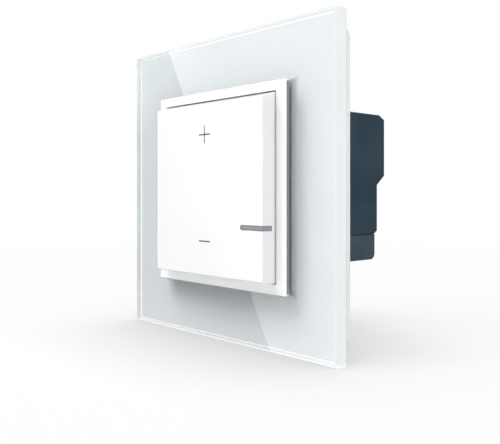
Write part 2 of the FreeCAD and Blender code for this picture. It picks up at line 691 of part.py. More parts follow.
def cover_ear():
    """An ear on the cover, with the bore that the rocker's pin turns in."""
    x0 = LUG_OFFSET + LUG_THICK + LUG_TO_EAR
    x1 = x0 + EAR_THICK
    ear = box(x0, x1, PIVOT_Y, COVER_FRONT + ROOT, -EAR_ROUND, EAR_ROUND)
    tip = rod_x(EAR_ROUND, x0, x1, PIVOT_Y, 0)
    web = outline_x([(COVER_FRONT + ROOT, -2 * EAR_ROUND), (COVER_FRONT + ROOT, 2 * EAR_ROUND),
                     (PIVOT_Y, EAR_ROUND), (PIVOT_Y, -EAR_ROUND)], EAR_THICK / 2)
    web.translate(vec((x0 + x1) / 2, 0, 0))
    bore = rod_x(PIVOT_RADIUS + PIVOT_CLEARANCE, x0 - PAST, x1 + PAST, PIVOT_Y, 0)
    return fuse_all([ear, tip, web]).cut(bore)


def mechanism_cover():
    """Flange under the rocker, pivot ears, and a spigot into the housing."""
    flange = slab(COVER_HALF_WIDTH, COVER_HALF_HEIGHT, COVER_CORNER, COVER_FRONT, -PLATE_THICK)
    outer = opening_block(SPIGOT_CLEARANCE, -PLATE_THICK, CONTROL_BOARD_Y)
    inner = opening_block(SPIGOT_CLEARANCE + COVER_WALL, -PLATE_THICK, CONTROL_BOARD_Y + PAST)
    ear = cover_ear()
    body = flange.fuse([outer.cut(inner), ear, mirrored(ear)])
    cuts = [rod_y(STEM_RADIUS + STEM_CLEARANCE, COVER_FRONT - PAST, PAST, 0,
                  side * SWITCH_OFFSET) for side in (-1, 1)]
    cuts.append(rod_y(PIPE_RADIUS + PIPE_CLEARANCE, COVER_FRONT - PAST, PAST, PIPE_X, GUIDE_Z))
    for x, z in screw_places():
        cuts.append(rod_y(SCREW_RADIUS + SCREW_CLEARANCE, COVER_FRONT - PAST, PAST, x, z))
        cuts.append(screw_head(x, z))
    return body.cut(cuts).removeSplitter()


def light_pipe():
    """The fixed rod that carries the light from the board to the rocker."""
    back = CONTROL_BOARD_Y - LED_THICK - LED_GAP
    pipe = rod_y(PIPE_RADIUS, COVER_FRONT, back, PIPE_X, GUIDE_Z)
    collar = rod_y(PIPE_COLLAR_RADIUS, -PLATE_THICK, -PLATE_THICK + PIPE_COLLAR, PIPE_X, GUIDE_Z)
    return fuse_all([pipe, collar])


def indicator_led():
    half = LED_SIZE / 2
    x = PIPE_X
    return box(x - half, x + half, CONTROL_BOARD_Y - LED_THICK, CONTROL_BOARD_Y,
               GUIDE_Z - half, GUIDE_Z + half)


def screw_head(x, z):
    depth = SCREW_HEAD_RADIUS - SCREW_RADIUS
    return cone_y(SCREW_HEAD_RADIUS, SCREW_RADIUS, COVER_FRONT, COVER_FRONT + depth, x, z)


def housing_screw(x, z):
    shank = rod_y(SCREW_RADIUS, COVER_FRONT + ROOT, COVER_FRONT + SCREW_LENGTH, x, z)
    tip = cone_y(SCREW_RADIUS, SCREW_TIP, COVER_FRONT + SCREW_LENGTH,
                 COVER_FRONT + SCREW_LENGTH + SCREW_RADIUS, x, z)
    half = SCREW_SLOT / 2
    slot = box(x - SCREW_HEAD_RADIUS, x + SCREW_HEAD_RADIUS, COVER_FRONT - PAST,
               COVER_FRONT + SCREW_SLOT, z - half, z + half)
    return fuse_all([screw_head(x, z), shank, tip]).cut(slot)


def switch_body(side):
    half = SWITCH_SIZE / 2
    z = side * SWITCH_OFFSET
    body = box(-half, half, SWITCH_FRONT, CONTROL_BOARD_Y, z - half, z + half)
    cavity = rod_y(SWITCH_CAVITY_RADIUS, SWITCH_FRONT - PAST, CONTROL_BOARD_Y - SWITCH_FLOOR, 0, z)
    return body.cut(cavity)


def switch_lid(side):
    half = SWITCH_SIZE / 2
    z = side * SWITCH_OFFSET
    lid = slab(half, half, SWITCH_LID_CORNER, SWITCH_FRONT - SWITCH_LID, SWITCH_FRONT, 0, z)
    return lid.cut(rod_y(STEM_RADIUS + STEM_CLEARANCE, SWITCH_FRONT - PAST, SWITCH_FRONT + PAST, 0, z))


def plunger(side):
    """A switch's stem, with the collar that its spring pushes on."""
    z = side * SWITCH_OFFSET
    front = NOSE_TIP + STEM_TO_NOSE
    stem = rod_y(STEM_RADIUS, front, STEM_COLLAR_FRONT, 0, z)
    stem = stem.makeChamfer(STEM_CHAMFER,
                            edges_where(stem, lambda edge: edge.BoundBox.YMax < front + NEAR))
    collar = rod_y(STEM_COLLAR_RADIUS, STEM_COLLAR_FRONT, STEM_COLLAR_FRONT + STEM_COLLAR, 0, z)
    return fuse_all([stem, collar])


def return_spring(side):
    """A round wire coil between the collar and the floor of the switch."""
    start = STEM_COLLAR_FRONT + STEM_COLLAR + SPRING_WIRE / 2
    end = CONTROL_BOARD_Y - SWITCH_FLOOR - SPRING_WIRE / 2
    height = end - start
    helix = Part.makeHelix(height / SPRING_TURNS, height, SPRING_RADIUS)
    centre = vec(SPRING_RADIUS, 0, 0)
    section = Part.Wire(Part.makeCircle(SPRING_WIRE / 2, centre, vec(0, 1, 0)))
    coil = Part.Wire(helix.Edges).makePipeShell([section], True, True)
    coil.rotate(vec(0, 0, 0), vec(1, 0, 0), -90)
    coil.translate(vec(0, start, side * SWITCH_OFFSET))
    return coil


def control_board():
    half_width = BOARD_HALF_WIDTH
    middle = MIDDLE_HALF_HEIGHT - SPIGOT_CLEARANCE
    return cross_section(half_width, middle, ENDS_HALF_WIDTH, ENDS_HALF_HEIGHT - BOARD_END_GAP,
                         CONTROL_BOARD_Y, CONTROL_BOARD_BACK)


def microcontroller():
    chip = box(CHIP_X - CHIP_SIZE / 2, CHIP_X + CHIP_SIZE / 2, CONTROL_BOARD_BACK,
               CONTROL_BOARD_BACK + CHIP_THICK, CHIP_Z - CHIP_SIZE / 2, CHIP_Z + CHIP_SIZE / 2)
    upright = edges_where(chip, lambda edge: edge.BoundBox.YLength > CHIP_THICK / 2)
    return chip.makeChamfer(CHIP_CORNER, upright)


def board_connector():
    """A pin strip that joins the two boards."""
    half = CONNECTOR_WIDTH / 2
    strip = box(CONNECTOR_X - half, CONNECTOR_X + half, CONTROL_BOARD_BACK, POWER_BOARD_Y,
                CONNECTOR_Z - CONNECTOR_HEIGHT / 2, CONNECTOR_Z + CONNECTOR_HEIGHT / 2)
    notch = box(CONNECTOR_X - CONNECTOR_PIN_PITCH, CONNECTOR_X + CONNECTOR_PIN_PITCH,
                CONTROL_BOARD_BACK + CONNECTOR_NOTCH_WALL, POWER_BOARD_Y - CONNECTOR_NOTCH_WALL,
                CONNECTOR_Z + CONNECTOR_HEIGHT / 4, CONNECTOR_Z + CONNECTOR_HEIGHT)
    return strip.cut(notch)


def leg_hole(x):
    half = LEG_WIDTH / 2 + LEG_CLEARANCE
    return box(x - half, x + half, POWER_BOARD_Y - PAST, POWER_BOARD_BACK + PAST,
               LEG_TOP - BAR_THICK - LEG_CLEARANCE, LEG_TOP + LEG_CLEARANCE)


def power_board():
    board = box(-BOARD_HALF_WIDTH, BOARD_HALF_WIDTH, POWER_BOARD_Y, POWER_BOARD_BACK,
                INNER_BOTTOM + BOARD_END_GAP, INNER_TOP - BOARD_END_GAP)
    return board.cut([leg_hole(x) for x in terminal_places()])


def housing_outline():
    """The side outline of the rear housing, from its seat in the plate back."""
    return [(-PLATE_SEAT, HOUSING_TOP), (HOUSING_DEPTH - TOP_SLANT_Y, HOUSING_TOP),
            (HOUSING_DEPTH, HOUSING_TOP - TOP_SLANT_Z), (HOUSING_DEPTH, DEEP_PART_Z),
            (SHALLOW_DEPTH, DEEP_PART_Z - STEP_Z), (SHALLOW_DEPTH, BLOCK_TOP + SMALL_STEP_Z),
            (BLOCK_END, BLOCK_TOP), (BLOCK_START, BLOCK_TOP), (BLOCK_START, HOUSING_BOTTOM),
            (-PLATE_SEAT, HOUSING_BOTTOM)]


def housing_inside():
    """The hollow of the housing: the same outline, one wall smaller."""
    corners = [vec(0, y, z) for y, z in housing_outline()]
    wire = Part.makePolygon(corners + corners[:1])
    inner = Part.Face(wire).makeOffset2D(-HOUSING_WALL, 2)
    hollow = inner.extrude(vec(2 * INNER_HALF_WIDTH, 0, 0))
    hollow.translate(vec(-INNER_HALF_WIDTH, 0, 0))
    mouth = box(-INNER_HALF_WIDTH, INNER_HALF_WIDTH, -PAST, 2 * HOUSING_WALL,
                INNER_BOTTOM, INNER_TOP)
    return hollow.fuse(mouth)


def housing_rail():
    """A rail on the side wall that holds the two boards apart."""
    return box(INNER_HALF_WIDTH - RAIL_WIDTH, INNER_HALF_WIDTH + ROOT, CONTROL_BOARD_BACK,
               POWER_BOARD_Y, -RAIL_HEIGHT / 2, RAIL_HEIGHT / 2)


def housing_rear_rib(z):
    """A rib behind the power board, tapered towards the rear."""
    points = [(POWER_BOARD_BACK, -REAR_RIB_HEIGHT / 2), (POWER_BOARD_BACK, REAR_RIB_HEIGHT / 2),
              (POWER_BOARD_BACK + REAR_RIB_LENGTH, REAR_RIB_HEIGHT / 4),
              (POWER_BOARD_BACK + REAR_RIB_LENGTH, -REAR_RIB_HEIGHT / 4)]
    rib = outline_x(points, (REAR_RIB_WIDTH + ROOT) / 2)
    rib.translate(vec(INNER_HALF_WIDTH - (REAR_RIB_WIDTH - ROOT) / 2, 0, z))
    return rib


def rear_housing():
    """One moulded shell: stepped back, bosses, rails and the block's window."""
    shell = outline_x(housing_outline(), HOUSING_HALF_WIDTH)
    lengthways = edges_where(shell, lambda edge: edge.BoundBox.XLength < NEAR
                             and edge.BoundBox.YMax > NEAR)
    shell = shell.makeFillet(HOUSING_EDGE_ROUND, lengthways)
    bosses = [rod_y(BOSS_RADIUS, -PLATE_SEAT, BOSS_LENGTH, x, z) for x, z in screw_places()]
    rails = [housing_rail(), housing_rear_rib(-REAR_RIB_LENGTH), housing_rear_rib(0.0)]
    rails += [mirrored(rail) for rail in rails]
    body = shell.cut(housing_inside()).fuse(bosses + rails)
    window_half = BLOCK_PLUG_HALF_WIDTH + BLOCK_PLUG_CLEARANCE
    cuts = [box(-window_half, window_half, PLUG_FRONT - BLOCK_PLUG_CLEARANCE,
                PLUG_BACK + BLOCK_PLUG_CLEARANCE, BLOCK_TOP - PAST,
                BLOCK_TOP + HOUSING_WALL + ROOT)]
    cuts += [rod_y(SCREW_RADIUS + SCREW_CLEARANCE, -PAST, BOSS_LENGTH - BOSS_FLOOR, x, z)
             for x, z in screw_places()]
    return body.cut(cuts).removeSplitter()


def block_body():
    """The lower block under the housing's step, round along its rear edge."""
    block = box(-HOUSING_HALF_WIDTH, HOUSING_HALF_WIDTH, BLOCK_START, BLOCK_END,
                HOUSING_BOTTOM, BLOCK_TOP)
    rear = edges_where(block, lambda edge: edge.BoundBox.YMin > BLOCK_END - NEAR
                       and edge.BoundBox.ZMax < HOUSING_BOTTOM + NEAR)
    block = block.makeFillet(BLOCK_BOTTOM_ROUND, rear)
    plug = box(-BLOCK_PLUG_HALF_WIDTH, BLOCK_PLUG_HALF_WIDTH, PLUG_FRONT, PLUG_BACK,
               BLOCK_TOP - PAST, BLOCK_PLUG_TOP)
    return block.fuse(plug).removeSplitter()


def terminal_room(x):
    """Everything that one terminal takes out of the block."""
    side = CAGE_HALF_WIDTH + CAGE_SIDE_GAP
    chamber = box(x - side, x + side, CHAMBER_START, SHOULDER_FRONT, CHAMBER_BOTTOM, CHAMBER_TOP)
    shank = rod_y(CLAMP_SCREW_RADIUS + CLAMP_SHANK_CLEARANCE, SHOULDER_FRONT - PAST,
                  HEAD_FRONT, x, TERMINAL_Z)
    head = rod_y(HEAD_RADIUS + HEAD_CLEARANCE, HEAD_FRONT - HEAD_GAP,
                 HEAD_FRONT + HEAD_THICK + HEAD_GAP, x, TERMINAL_Z)
    driver = rod_y(DRIVER_BORE_RADIUS, HEAD_FRONT, BLOCK_END + PAST, x, TERMINAL_Z)
    wire = rod_z(WIRE_BORE_RADIUS, HOUSING_BOTTOM - PAST, CHAMBER_BOTTOM + PAST, x, WIRE_Y)
    funnel = Part.makeCone(WIRE_BORE_RADIUS + WIRE_LEAD_IN, WIRE_BORE_RADIUS, WIRE_LEAD_IN,
                           vec(x, WIRE_Y, HOUSING_BOTTOM), vec(0, 0, 1))
    half = LEG_WIDTH / 2 + LEG_CLEARANCE
    leg = box(x - half, x + half, PLUG_FRONT - PAST, CHAMBER_START + PAST,
              LEG_TOP - BAR_THICK - LEG_CLEARANCE, LEG_TOP + LEG_CLEARANCE)
    return fuse_all([chamber, shank, head, driver, wire, funnel, leg])


def terminal_block():
    return block_body().cut([terminal_room(x) for x in terminal_places()])


def terminal_bar(x):
    """The fixed contact: a bar across the cage and a leg to the board."""
    bar = box(x - BAR_HALF_WIDTH, x + BAR_HALF_WIDTH, BAR_FRONT, BAR_BACK,
              CAGE_BOTTOM, LEG_TOP)
    leg = box(x - LEG_WIDTH / 2, x + LEG_WIDTH / 2, POWER_BOARD_Y - LEG_STICKS_OUT, BAR_BACK,
              LEG_TOP - BAR_THICK, LEG_TOP)
    return fuse_all([bar, leg])


def terminal_screw(x):
    """The clamp screw, held lengthways between the block's two walls."""
    shank = rod_y(CLAMP_SCREW_RADIUS, BAR_BACK + BAR_GAP, HEAD_FRONT + ROOT, x, TERMINAL_Z)
    head = rod_y(HEAD_RADIUS, HEAD_FRONT, HEAD_FRONT + HEAD_THICK, x, TERMINAL_Z)
    outer = edges_where(head, lambda edge: edge.BoundBox.YMin > HEAD_FRONT + HEAD_THICK - NEAR)
    head = head.makeFillet(CLAMP_HEAD_ROUND, outer)
    slot = box(x - HEAD_RADIUS, x + HEAD_RADIUS, HEAD_FRONT + HEAD_THICK - CLAMP_SLOT_DEPTH,
               BLOCK_END, TERMINAL_Z - CLAMP_SLOT_WIDTH / 2, TERMINAL_Z + CLAMP_SLOT_WIDTH / 2)
    return fuse_all([shank, head]).cut(slot)


def terminal_cage(x):
    """The cage that the screw draws back, pulling the wire onto the bar."""
    side = CAGE_HALF_WIDTH
    outer = box(x - side, x + side, CAGE_START, CAGE_END, CAGE_BOTTOM, CAGE_TOP)
    along = edges_where(outer, lambda edge: edge.BoundBox.ZLength > CAGE_HEIGHT / 2)
    outer = outer.makeFillet(CAGE_ROUND, along)
    inner = box(x - side + CAGE_WALL, x + side - CAGE_WALL, CAGE_START + CAGE_WALL,
                CAGE_END - CAGE_THREAD_WALL, CAGE_BOTTOM - PAST, CAGE_TOP + PAST)
    thread = rod_y(CLAMP_SCREW_RADIUS + CLAMP_THREAD_CLEARANCE, CAGE_END - 2 * CAGE_THREAD_WALL,
                   CAGE_END + PAST, x, TERMINAL_Z)
    return outer.cut([inner, thread])


def choke_core():
    """A drum core: two flanges on a hub, turned as one piece."""
    y0 = POWER_BOARD_BACK
    y1 = y0 + CHOKE_HEIGHT
    points = [(0, y0), (CHOKE_RADIUS, y0), (CHOKE_RADIUS, y0 + CHOKE_FLANGE),
              (CHOKE_HUB_RADIUS, y0 + CHOKE_FLANGE), (CHOKE_HUB_RADIUS, y1 - CHOKE_FLANGE),
              (CHOKE_RADIUS, y1 - CHOKE_FLANGE), (CHOKE_RADIUS, y1), (0, y1)]
    corners = [vec(r, y, 0) for r, y in points]
    face = Part.Face(Part.makePolygon(corners + corners[:1]))
    core = face.revolve(vec(0, 0, 0), vec(0, 1, 0), 360)
    core.translate(vec(CHOKE_X, 0, CHOKE_Z))
    return core


def choke_winding():
    """The winding as one ring, with a ridge for each visible turn."""
    y0 = POWER_BOARD_BACK + CHOKE_FLANGE
    y1 = y0 + CHOKE_HEIGHT - 2 * CHOKE_FLANGE
    pitch = (y1 - y0) / WINDING_TURNS
    corners = [vec(CHOKE_HUB_RADIUS, y0, 0), vec(WINDING_RADIUS - pitch / 3, y0, 0)]
    edges = [Part.makeLine(corners[0], corners[1])]
    for turn in range(WINDING_TURNS):
        start = vec(WINDING_RADIUS - pitch / 3, y0 + turn * pitch, 0)
        top = vec(WINDING_RADIUS, y0 + (turn + 0.5) * pitch, 0)
        end = vec(WINDING_RADIUS - pitch / 3, y0 + (turn + 1) * pitch, 0)
        edges.append(Part.Arc(start, top, end).toShape())
    edges.append(Part.makeLine(end, vec(CHOKE_HUB_RADIUS, y1, 0)))
    edges.append(Part.makeLine(vec(CHOKE_HUB_RADIUS, y1, 0), corners[0]))
    winding = Part.Face(Part.Wire(edges)).revolve(vec(0, 0, 0), vec(0, 1, 0), 360)
    winding.translate(vec(CHOKE_X, 0, CHOKE_Z))
    return winding


def film_capacitor():
    body = box(FILM_CAP_X - FILM_CAP_WIDTH / 2, FILM_CAP_X + FILM_CAP_WIDTH / 2, POWER_BOARD_BACK,
               POWER_BOARD_BACK + FILM_CAP_DEPTH, FILM_CAP_Z - FILM_CAP_HEIGHT / 2,
               FILM_CAP_Z + FILM_CAP_HEIGHT / 2)
    rear = edges_where(body, lambda edge: edge.BoundBox.YMax > POWER_BOARD_BACK + NEAR)
    return body.makeFillet(FILM_CAP_ROUND, rear)


def electrolytic_capacitor():
    """A round can with the crimped groove above its seal."""
    y0 = POWER_BOARD_BACK
    y1 = y0 + CAN_DEPTH
    can = rod_y(CAN_RADIUS, y0, y1, CAN_X, CAN_Z)
    can = can.makeFillet(CAN_ROUND, edges_where(can, lambda edge: edge.BoundBox.YMin > y1 - NEAR))
    crimp = Part.makeTorus(CAN_RADIUS + CAN_CRIMP, 2 * CAN_CRIMP,
                           vec(CAN_X, y0 + CAN_CRIMP_HEIGHT, CAN_Z), vec(0, 1, 0))
    return can.cut(crimp)


def fuse():
    """A small cartridge fuse lying in its two feet."""
    y = POWER_BOARD_BACK + FUSE_STANDOFF + FUSE_CAP_RADIUS
    half = FUSE_LENGTH / 2
    foot = FUSE_FOOT / 2
    tube = rod_x(FUSE_RADIUS, FUSE_X - half, FUSE_X + half, y, FUSE_Z)
    pieces = [tube]
    for side in (-1, 1):
        x0, x1 = sorted((FUSE_X + side * half, FUSE_X + side * (half - FUSE_CAP_LENGTH)))
        pieces.append(rod_x(FUSE_CAP_RADIUS, x0, x1, y, FUSE_Z))
        pieces.append(box(x0 + foot, x1 - foot, POWER_BOARD_BACK, y, FUSE_Z - foot, FUSE_Z + foot))
    return fuse_all(pieces)


def varistor():
    """A coated disc on two short wires."""
    y = POWER_BOARD_BACK + VARISTOR_RADIUS + VARISTOR_STANDOFF
    half = VARISTOR_THICK / 2
    disc = rod_x(VARISTOR_RADIUS, VARISTOR_X - half, VARISTOR_X + half, y, VARISTOR_Z)
    disc = disc.makeFillet(VARISTOR_ROUND, edges_where(disc, lambda edge: edge.BoundBox.XLength < NEAR))
    wires = [rod_y(VARISTOR_WIRE_RADIUS, POWER_BOARD_BACK, y - VARISTOR_RADIUS / 2, VARISTOR_X,
                   VARISTOR_Z + side * VARISTOR_WIRE_SPACING / 2) for side in (-1, 1)]
    return fuse_all([disc] + wires)


def heat_spreader():
    """A bent aluminium sheet that carries both power transistors."""
    x0 = SPREADER_X
    half = SPREADER_HEIGHT / 2
    z = SPREADER_Z
    wall = box(x0, x0 + SPREADER_THICK, POWER_BOARD_BACK, POWER_BOARD_BACK + SPREADER_DEPTH,
               z - half, z + half)
    foot = box(x0, x0 + SPREADER_FOOT, POWER_BOARD_BACK + SPREADER_DEPTH - SPREADER_THICK,
               POWER_BOARD_BACK + SPREADER_DEPTH, z - half, z + half)
    return fuse_all([wall, foot])


def transistor(side):
    """A flat power transistor: moulded body and three legs."""
    x0 = SPREADER_X + SPREADER_THICK
    z = SPREADER_Z + side * TRANSISTOR_SPACING / 2
    half = TRANSISTOR_WIDTH / 2
    y0 = POWER_BOARD_BACK + TRANSISTOR_LEG_LENGTH
    body = box(x0, x0 + TRANSISTOR_THICK, y0, y0 + TRANSISTOR_DEPTH, z - half, z + half)
    top = edges_where(body, lambda edge: edge.BoundBox.XMin > x0 + TRANSISTOR_THICK - NEAR)
    body = body.makeChamfer(TRANSISTOR_CHAMFER, top)
    middle = x0 + TRANSISTOR_THICK / 2
    half_leg = TRANSISTOR_LEG / 2
    legs = [box(middle - half_leg, middle + half_leg, POWER_BOARD_BACK, y0 + ROOT,
                z + step * TRANSISTOR_LEG_PITCH - half_leg,
                z + step * TRANSISTOR_LEG_PITCH + half_leg) for step in (-1, 0, 1)]
    return fuse_all([body] + legs)


def sub_parts():
    parts = {
        "glass_panel": glass_panel(),
        "glass_carrier": glass_carrier(),
        "support_plate": support_plate(),
        "inner_bezel": inner_bezel(),
        "rocker": rocker(),
        "light_guide": light_guide(),
        "mechanism_cover": mechanism_cover(),
        "light_pipe": light_pipe(),
        "indicator_led": indicator_led(),
        "control_board": control_board(),
        "microcontroller": microcontroller(),
        "board_connector": board_connector(),
        "power_board": power_board(),
        "rear_housing": rear_housing(),
        "terminal_block": terminal_block(),
        "choke_core": choke_core(),
        "choke_winding": choke_winding(),
        "film_capacitor": film_capacitor(),
        "electrolytic_capacitor": electrolytic_capacitor(),
        "fuse": fuse(),
        "varistor": varistor(),
        "heat_spreader": heat_spreader(),
        "transistor_lower": transistor(-1),
        "transistor_upper": transistor(1),
        "housing_screws": Part.makeCompound([housing_screw(x, z) for x, z in screw_places()]),
    }
    for name, side in (("upper", 1), ("lower", -1)):
        parts["switch_body_" + name] = switch_body(side)
        parts["switch_lid_" + name] = switch_lid(side)
        parts["plunger_" + name] = plunger(side)
        parts["return_spring_" + name] = return_spring(side)
    for number, x in enumerate(terminal_places(), 1):
        parts["terminal_bar_%d" % number] = terminal_bar(x)
        parts["terminal_screw_%d" % number] = terminal_screw(x)
        parts["terminal_cage_%d" % number] = terminal_cage(x)
    return parts


os.makedirs("parts", exist_ok=True)
for node, shape in sub_parts().items():
    shape.exportStep("parts/%s.step" % node)
    bounds = shape.BoundBox
    print("%-24s solids %d valid %s  x %.2f..%.2f y %.2f..%.2f z %.2f..%.2f"
          % (node, len(shape.Solids), shape.isValid(), bounds.XMin, bounds.XMax,
             bounds.YMin, bounds.YMax, bounds.ZMin, bounds.ZMax))
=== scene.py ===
# %% [markdown]
# # A glass wall dimmer, dressed for its picture
#
# The shapes of this dimmer come from its construction model: a square glass frame, a white
# surround, a white rocker and a dark housing behind. Here they get their finishes, their light
# and a camera. The construction model is loaded first, because everything else is placed
# by its boxes and in its frame: metres, X right, Y into the wall, Z up.

# %% Load the construction model
import math

import bmesh
import bpy
from mathutils import Matrix, Vector


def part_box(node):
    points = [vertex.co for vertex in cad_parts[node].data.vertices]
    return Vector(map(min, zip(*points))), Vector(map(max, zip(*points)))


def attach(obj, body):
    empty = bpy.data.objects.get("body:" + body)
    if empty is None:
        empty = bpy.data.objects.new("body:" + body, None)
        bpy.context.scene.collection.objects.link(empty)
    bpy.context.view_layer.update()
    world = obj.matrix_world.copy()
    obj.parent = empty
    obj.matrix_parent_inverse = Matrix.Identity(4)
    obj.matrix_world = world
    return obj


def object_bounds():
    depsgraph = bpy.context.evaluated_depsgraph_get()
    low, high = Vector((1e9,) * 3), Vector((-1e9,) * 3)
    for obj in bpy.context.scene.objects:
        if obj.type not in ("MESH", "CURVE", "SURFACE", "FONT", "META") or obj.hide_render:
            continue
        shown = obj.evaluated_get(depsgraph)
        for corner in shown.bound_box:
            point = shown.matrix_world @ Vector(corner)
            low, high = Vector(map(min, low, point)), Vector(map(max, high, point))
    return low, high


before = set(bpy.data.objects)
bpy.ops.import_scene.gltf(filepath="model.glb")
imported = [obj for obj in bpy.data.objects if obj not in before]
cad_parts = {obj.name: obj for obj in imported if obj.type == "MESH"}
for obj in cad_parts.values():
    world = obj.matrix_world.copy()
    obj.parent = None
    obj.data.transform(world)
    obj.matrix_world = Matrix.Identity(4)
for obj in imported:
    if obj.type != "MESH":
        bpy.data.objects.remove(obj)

MM = 0.001
cad_low, cad_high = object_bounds()
print("nodes", len(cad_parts), "from", tuple(cad_low), "to", tuple(cad_high))

# %% [markdown]
# ## Shader maths that reads like Python
#
# A finish is a small network of shader nodes. They could be clicked together in the editor, or
# added one by one with long calls. Here a signal stands for one socket, and a sum or product of
# signals adds the Math node that works it out, so that a mask reads as one short expression.
# Maths that has no sign in Python, such as the larger of two values, is a short function.


# %% A signal on a socket
class Signal:
    """One output of a node. Maths on it adds the nodes that do the same in the shader."""

    def __init__(self, nodes, socket):
        self.nodes = nodes
        self.socket = socket

    def maths(self, operation, *values):
        return self.nodes.node("Math", {"operation": operation}, dict(enumerate(values)))

    def __add__(self, other):
        return self.maths("ADD", self, other)

    def __radd__(self, other):
        return self.maths("ADD", other, self)

    def __sub__(self, other):
        return self.maths("SUBTRACT", self, other)

    def __rsub__(self, other):
        return self.maths("SUBTRACT", other, self)

    def __mul__(self, other):
        return self.maths("MULTIPLY", self, other)

    def __rmul__(self, other):
        return self.maths("MULTIPLY", other, self)

    def __gt__(self, other):
        return self.maths("GREATER_THAN", self, other)

    def __lt__(self, other):
        return self.maths("LESS_THAN", self, other)

    def __abs__(self):
        return self.maths("ABSOLUTE", self)


def larger(first, second):
    return first.maths("MAXIMUM", first, second)


def smaller(first, second):
    return first.maths("MINIMUM", first, second)


def length(across, up):
    return across.maths("SQRT", across * across + up * up)


def ripple(turn):
    """A sine of that many radians, from 0 to 1."""
    return turn.maths("SINE", turn) * 0.5 + 0.5


# %% [markdown]
# A tree of nodes belongs to a material or to the world. One method makes every node: it takes
# the node's type, then its settings, then what goes into its sockets. A finish is such a tree
# with a Principled shader in it, and what is the same all over is set on that shader directly.


# %% The tree and the finish
class Nodes:
    """A node tree, and one method that adds any node to it."""

    def __init__(self, tree):
        self.tree = tree

    def node(self, kind, settings=None, values=None, out=0):
        made = self.tree.nodes.new("ShaderNode" + kind)
        for setting, value in (settings or {}).items():
            setattr(made, setting, value)
        for socket, value in (values or {}).items():
            self.plug(made.inputs[socket], value)
        return Signal(self, made.outputs[out])

    def plug(self, socket, value):
        if isinstance(value, Signal):
            self.tree.links.new(value.socket, socket)
        else:
            socket.default_value = value


class Finish(Nodes):
    """A material with a Principled shader, whose even values are set on it."""

    def __init__(self, name, even):
        self.material = bpy.data.materials.new(name)
        self.material.use_nodes = True
        super().__init__(self.material.node_tree)
        self.shader = self.tree.nodes["Principled BSDF"]
        self.surface = self.tree.nodes["Material Output"].inputs["Surface"]
        for socket, value in even.items():
            self.shader.inputs[socket].default_value = value

    def feed(self, socket, value):
        self.plug(self.shader.inputs[socket], value)


# %% [markdown]
# Plastic, metal and enamel differ in scale and strength, but their ingredients repeat: a place on
# the piece, a grain of a real size, a soft edge between two zones, a mix of two colours and a
# bump of a real depth. Each of these is a short function here, with lengths in millimetres, and
# one more gives a finish to pieces of the construction model.


# %% Places and patterns
def place(finish):
    return finish.node("TexCoord", out="Object")


def along(finish, axis):
    """The place along one axis, in millimetres."""
    return finish.node("SeparateXYZ", {}, {0: place(finish)}, out=axis) * (1 / MM)


def off_middle(finish):
    """The place along X or along Z from the part's middle, whichever is more."""
    return larger(abs(along(finish, "X")), abs(along(finish, "Z")))


def grain(finish, size, detail=2.0, stretch=(1, 1, 1)):
    """A cloudy pattern whose patches are about that many millimetres across."""
    where = finish.node("VectorMath", {"operation": "MULTIPLY"}, {0: place(finish), 1: stretch})
    return finish.node("TexNoise", {}, {"Vector": where, "Scale": 1 / (size * MM),
                                        "Detail": detail})


def between(finish, value, low, high):
    """0 below low, 1 above high and a smooth step on the way."""
    return finish.node("MapRange", {"interpolation_type": "SMOOTHSTEP"},
                       {"Value": value, "From Min": low, "From Max": high})


# %% Mixing and relief
def mix(finish, share, first, second):
    return finish.node("Mix", {"data_type": "RGBA"}, {0: share, 6: first, 7: second}, out=2)


def mix_shaders(finish, share, first, second):
    return finish.node("MixShader", {}, {0: share, 1: first, 2: second})


def raised(finish, height, depth):
    """A bump: the height signal from 0 to 1 stands for that many millimetres."""
    return finish.node("Bump", {}, {"Height": height, "Distance": depth * MM, "Strength": 1.0})


# %% Colours, boxes and dressing
def coloured(red, green, blue):
    return (red, green, blue, 1.0)


def darkened(shade, share):
    return coloured(*(share * part for part in shade[:3]))


def in_mm(corners):
    """The two corners of a box, from metres to millimetres."""
    return [corner / MM for corner in corners]


def dress(finish, *nodes):
    """Gives a finish to nodes of the construction model."""
    for name in nodes:
        mesh_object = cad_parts[name]
        if not mesh_object.material_slots:
            mesh_object.data.materials.append(finish.material)
        for slot in mesh_object.material_slots:
            slot.material = finish.material
    print(finish.material.name, "on", ", ".join(nodes))


# %% [markdown]
# ## The picture: camera
#
# The photograph looks at the switch from its right, level with its middle. A camera that
# stands level keeps upright lines upright, and the picture is then slid up with the lens
# shift, as an architecture photographer does. The lens comes from the picture's perspective.

# %% Camera
VIEW_TURN = 47.8
CAMERA_PLACE = Vector((137.69, -122.44, -1.37)) * MM
LENS = 48.9
SLIDE = -0.0576

camera_data = bpy.data.cameras.new("camera")
camera_data.lens = LENS
camera_data.shift_y = SLIDE
camera_data.clip_start = 5 * MM
camera_data.clip_end = 20.0
camera = bpy.data.objects.new("camera", camera_data)
camera.location = CAMERA_PLACE
camera.rotation_euler = (math.radians(90), 0, math.radians(VIEW_TURN))
bpy.context.scene.collection.objects.link(camera)
bpy.context.scene.camera = camera
bpy.context.scene.view_settings.view_transform = "Standard"
print("camera", tuple(camera.location), "lens", camera_data.lens)

# %% [markdown]
# ## Light
#
# Product pictures on white use one broad light from the upper left, a weaker one from the right
# and a white room. The room is the world: straight on and through the glass it is pure white,
# while its light on the surfaces stays lower, so that white plastic keeps its shading. A path
# that has met a dull surface carries light and no picture, so the pure white is kept from it.
# Gloss and metal mirror the pure white too where it stands in a studio: on the backdrop behind
# the part. The side that the camera stands on is the plain, darker room.


# %% What the camera sees
def ray(nodes, fact):
    return nodes.node("LightPath", out=fact)


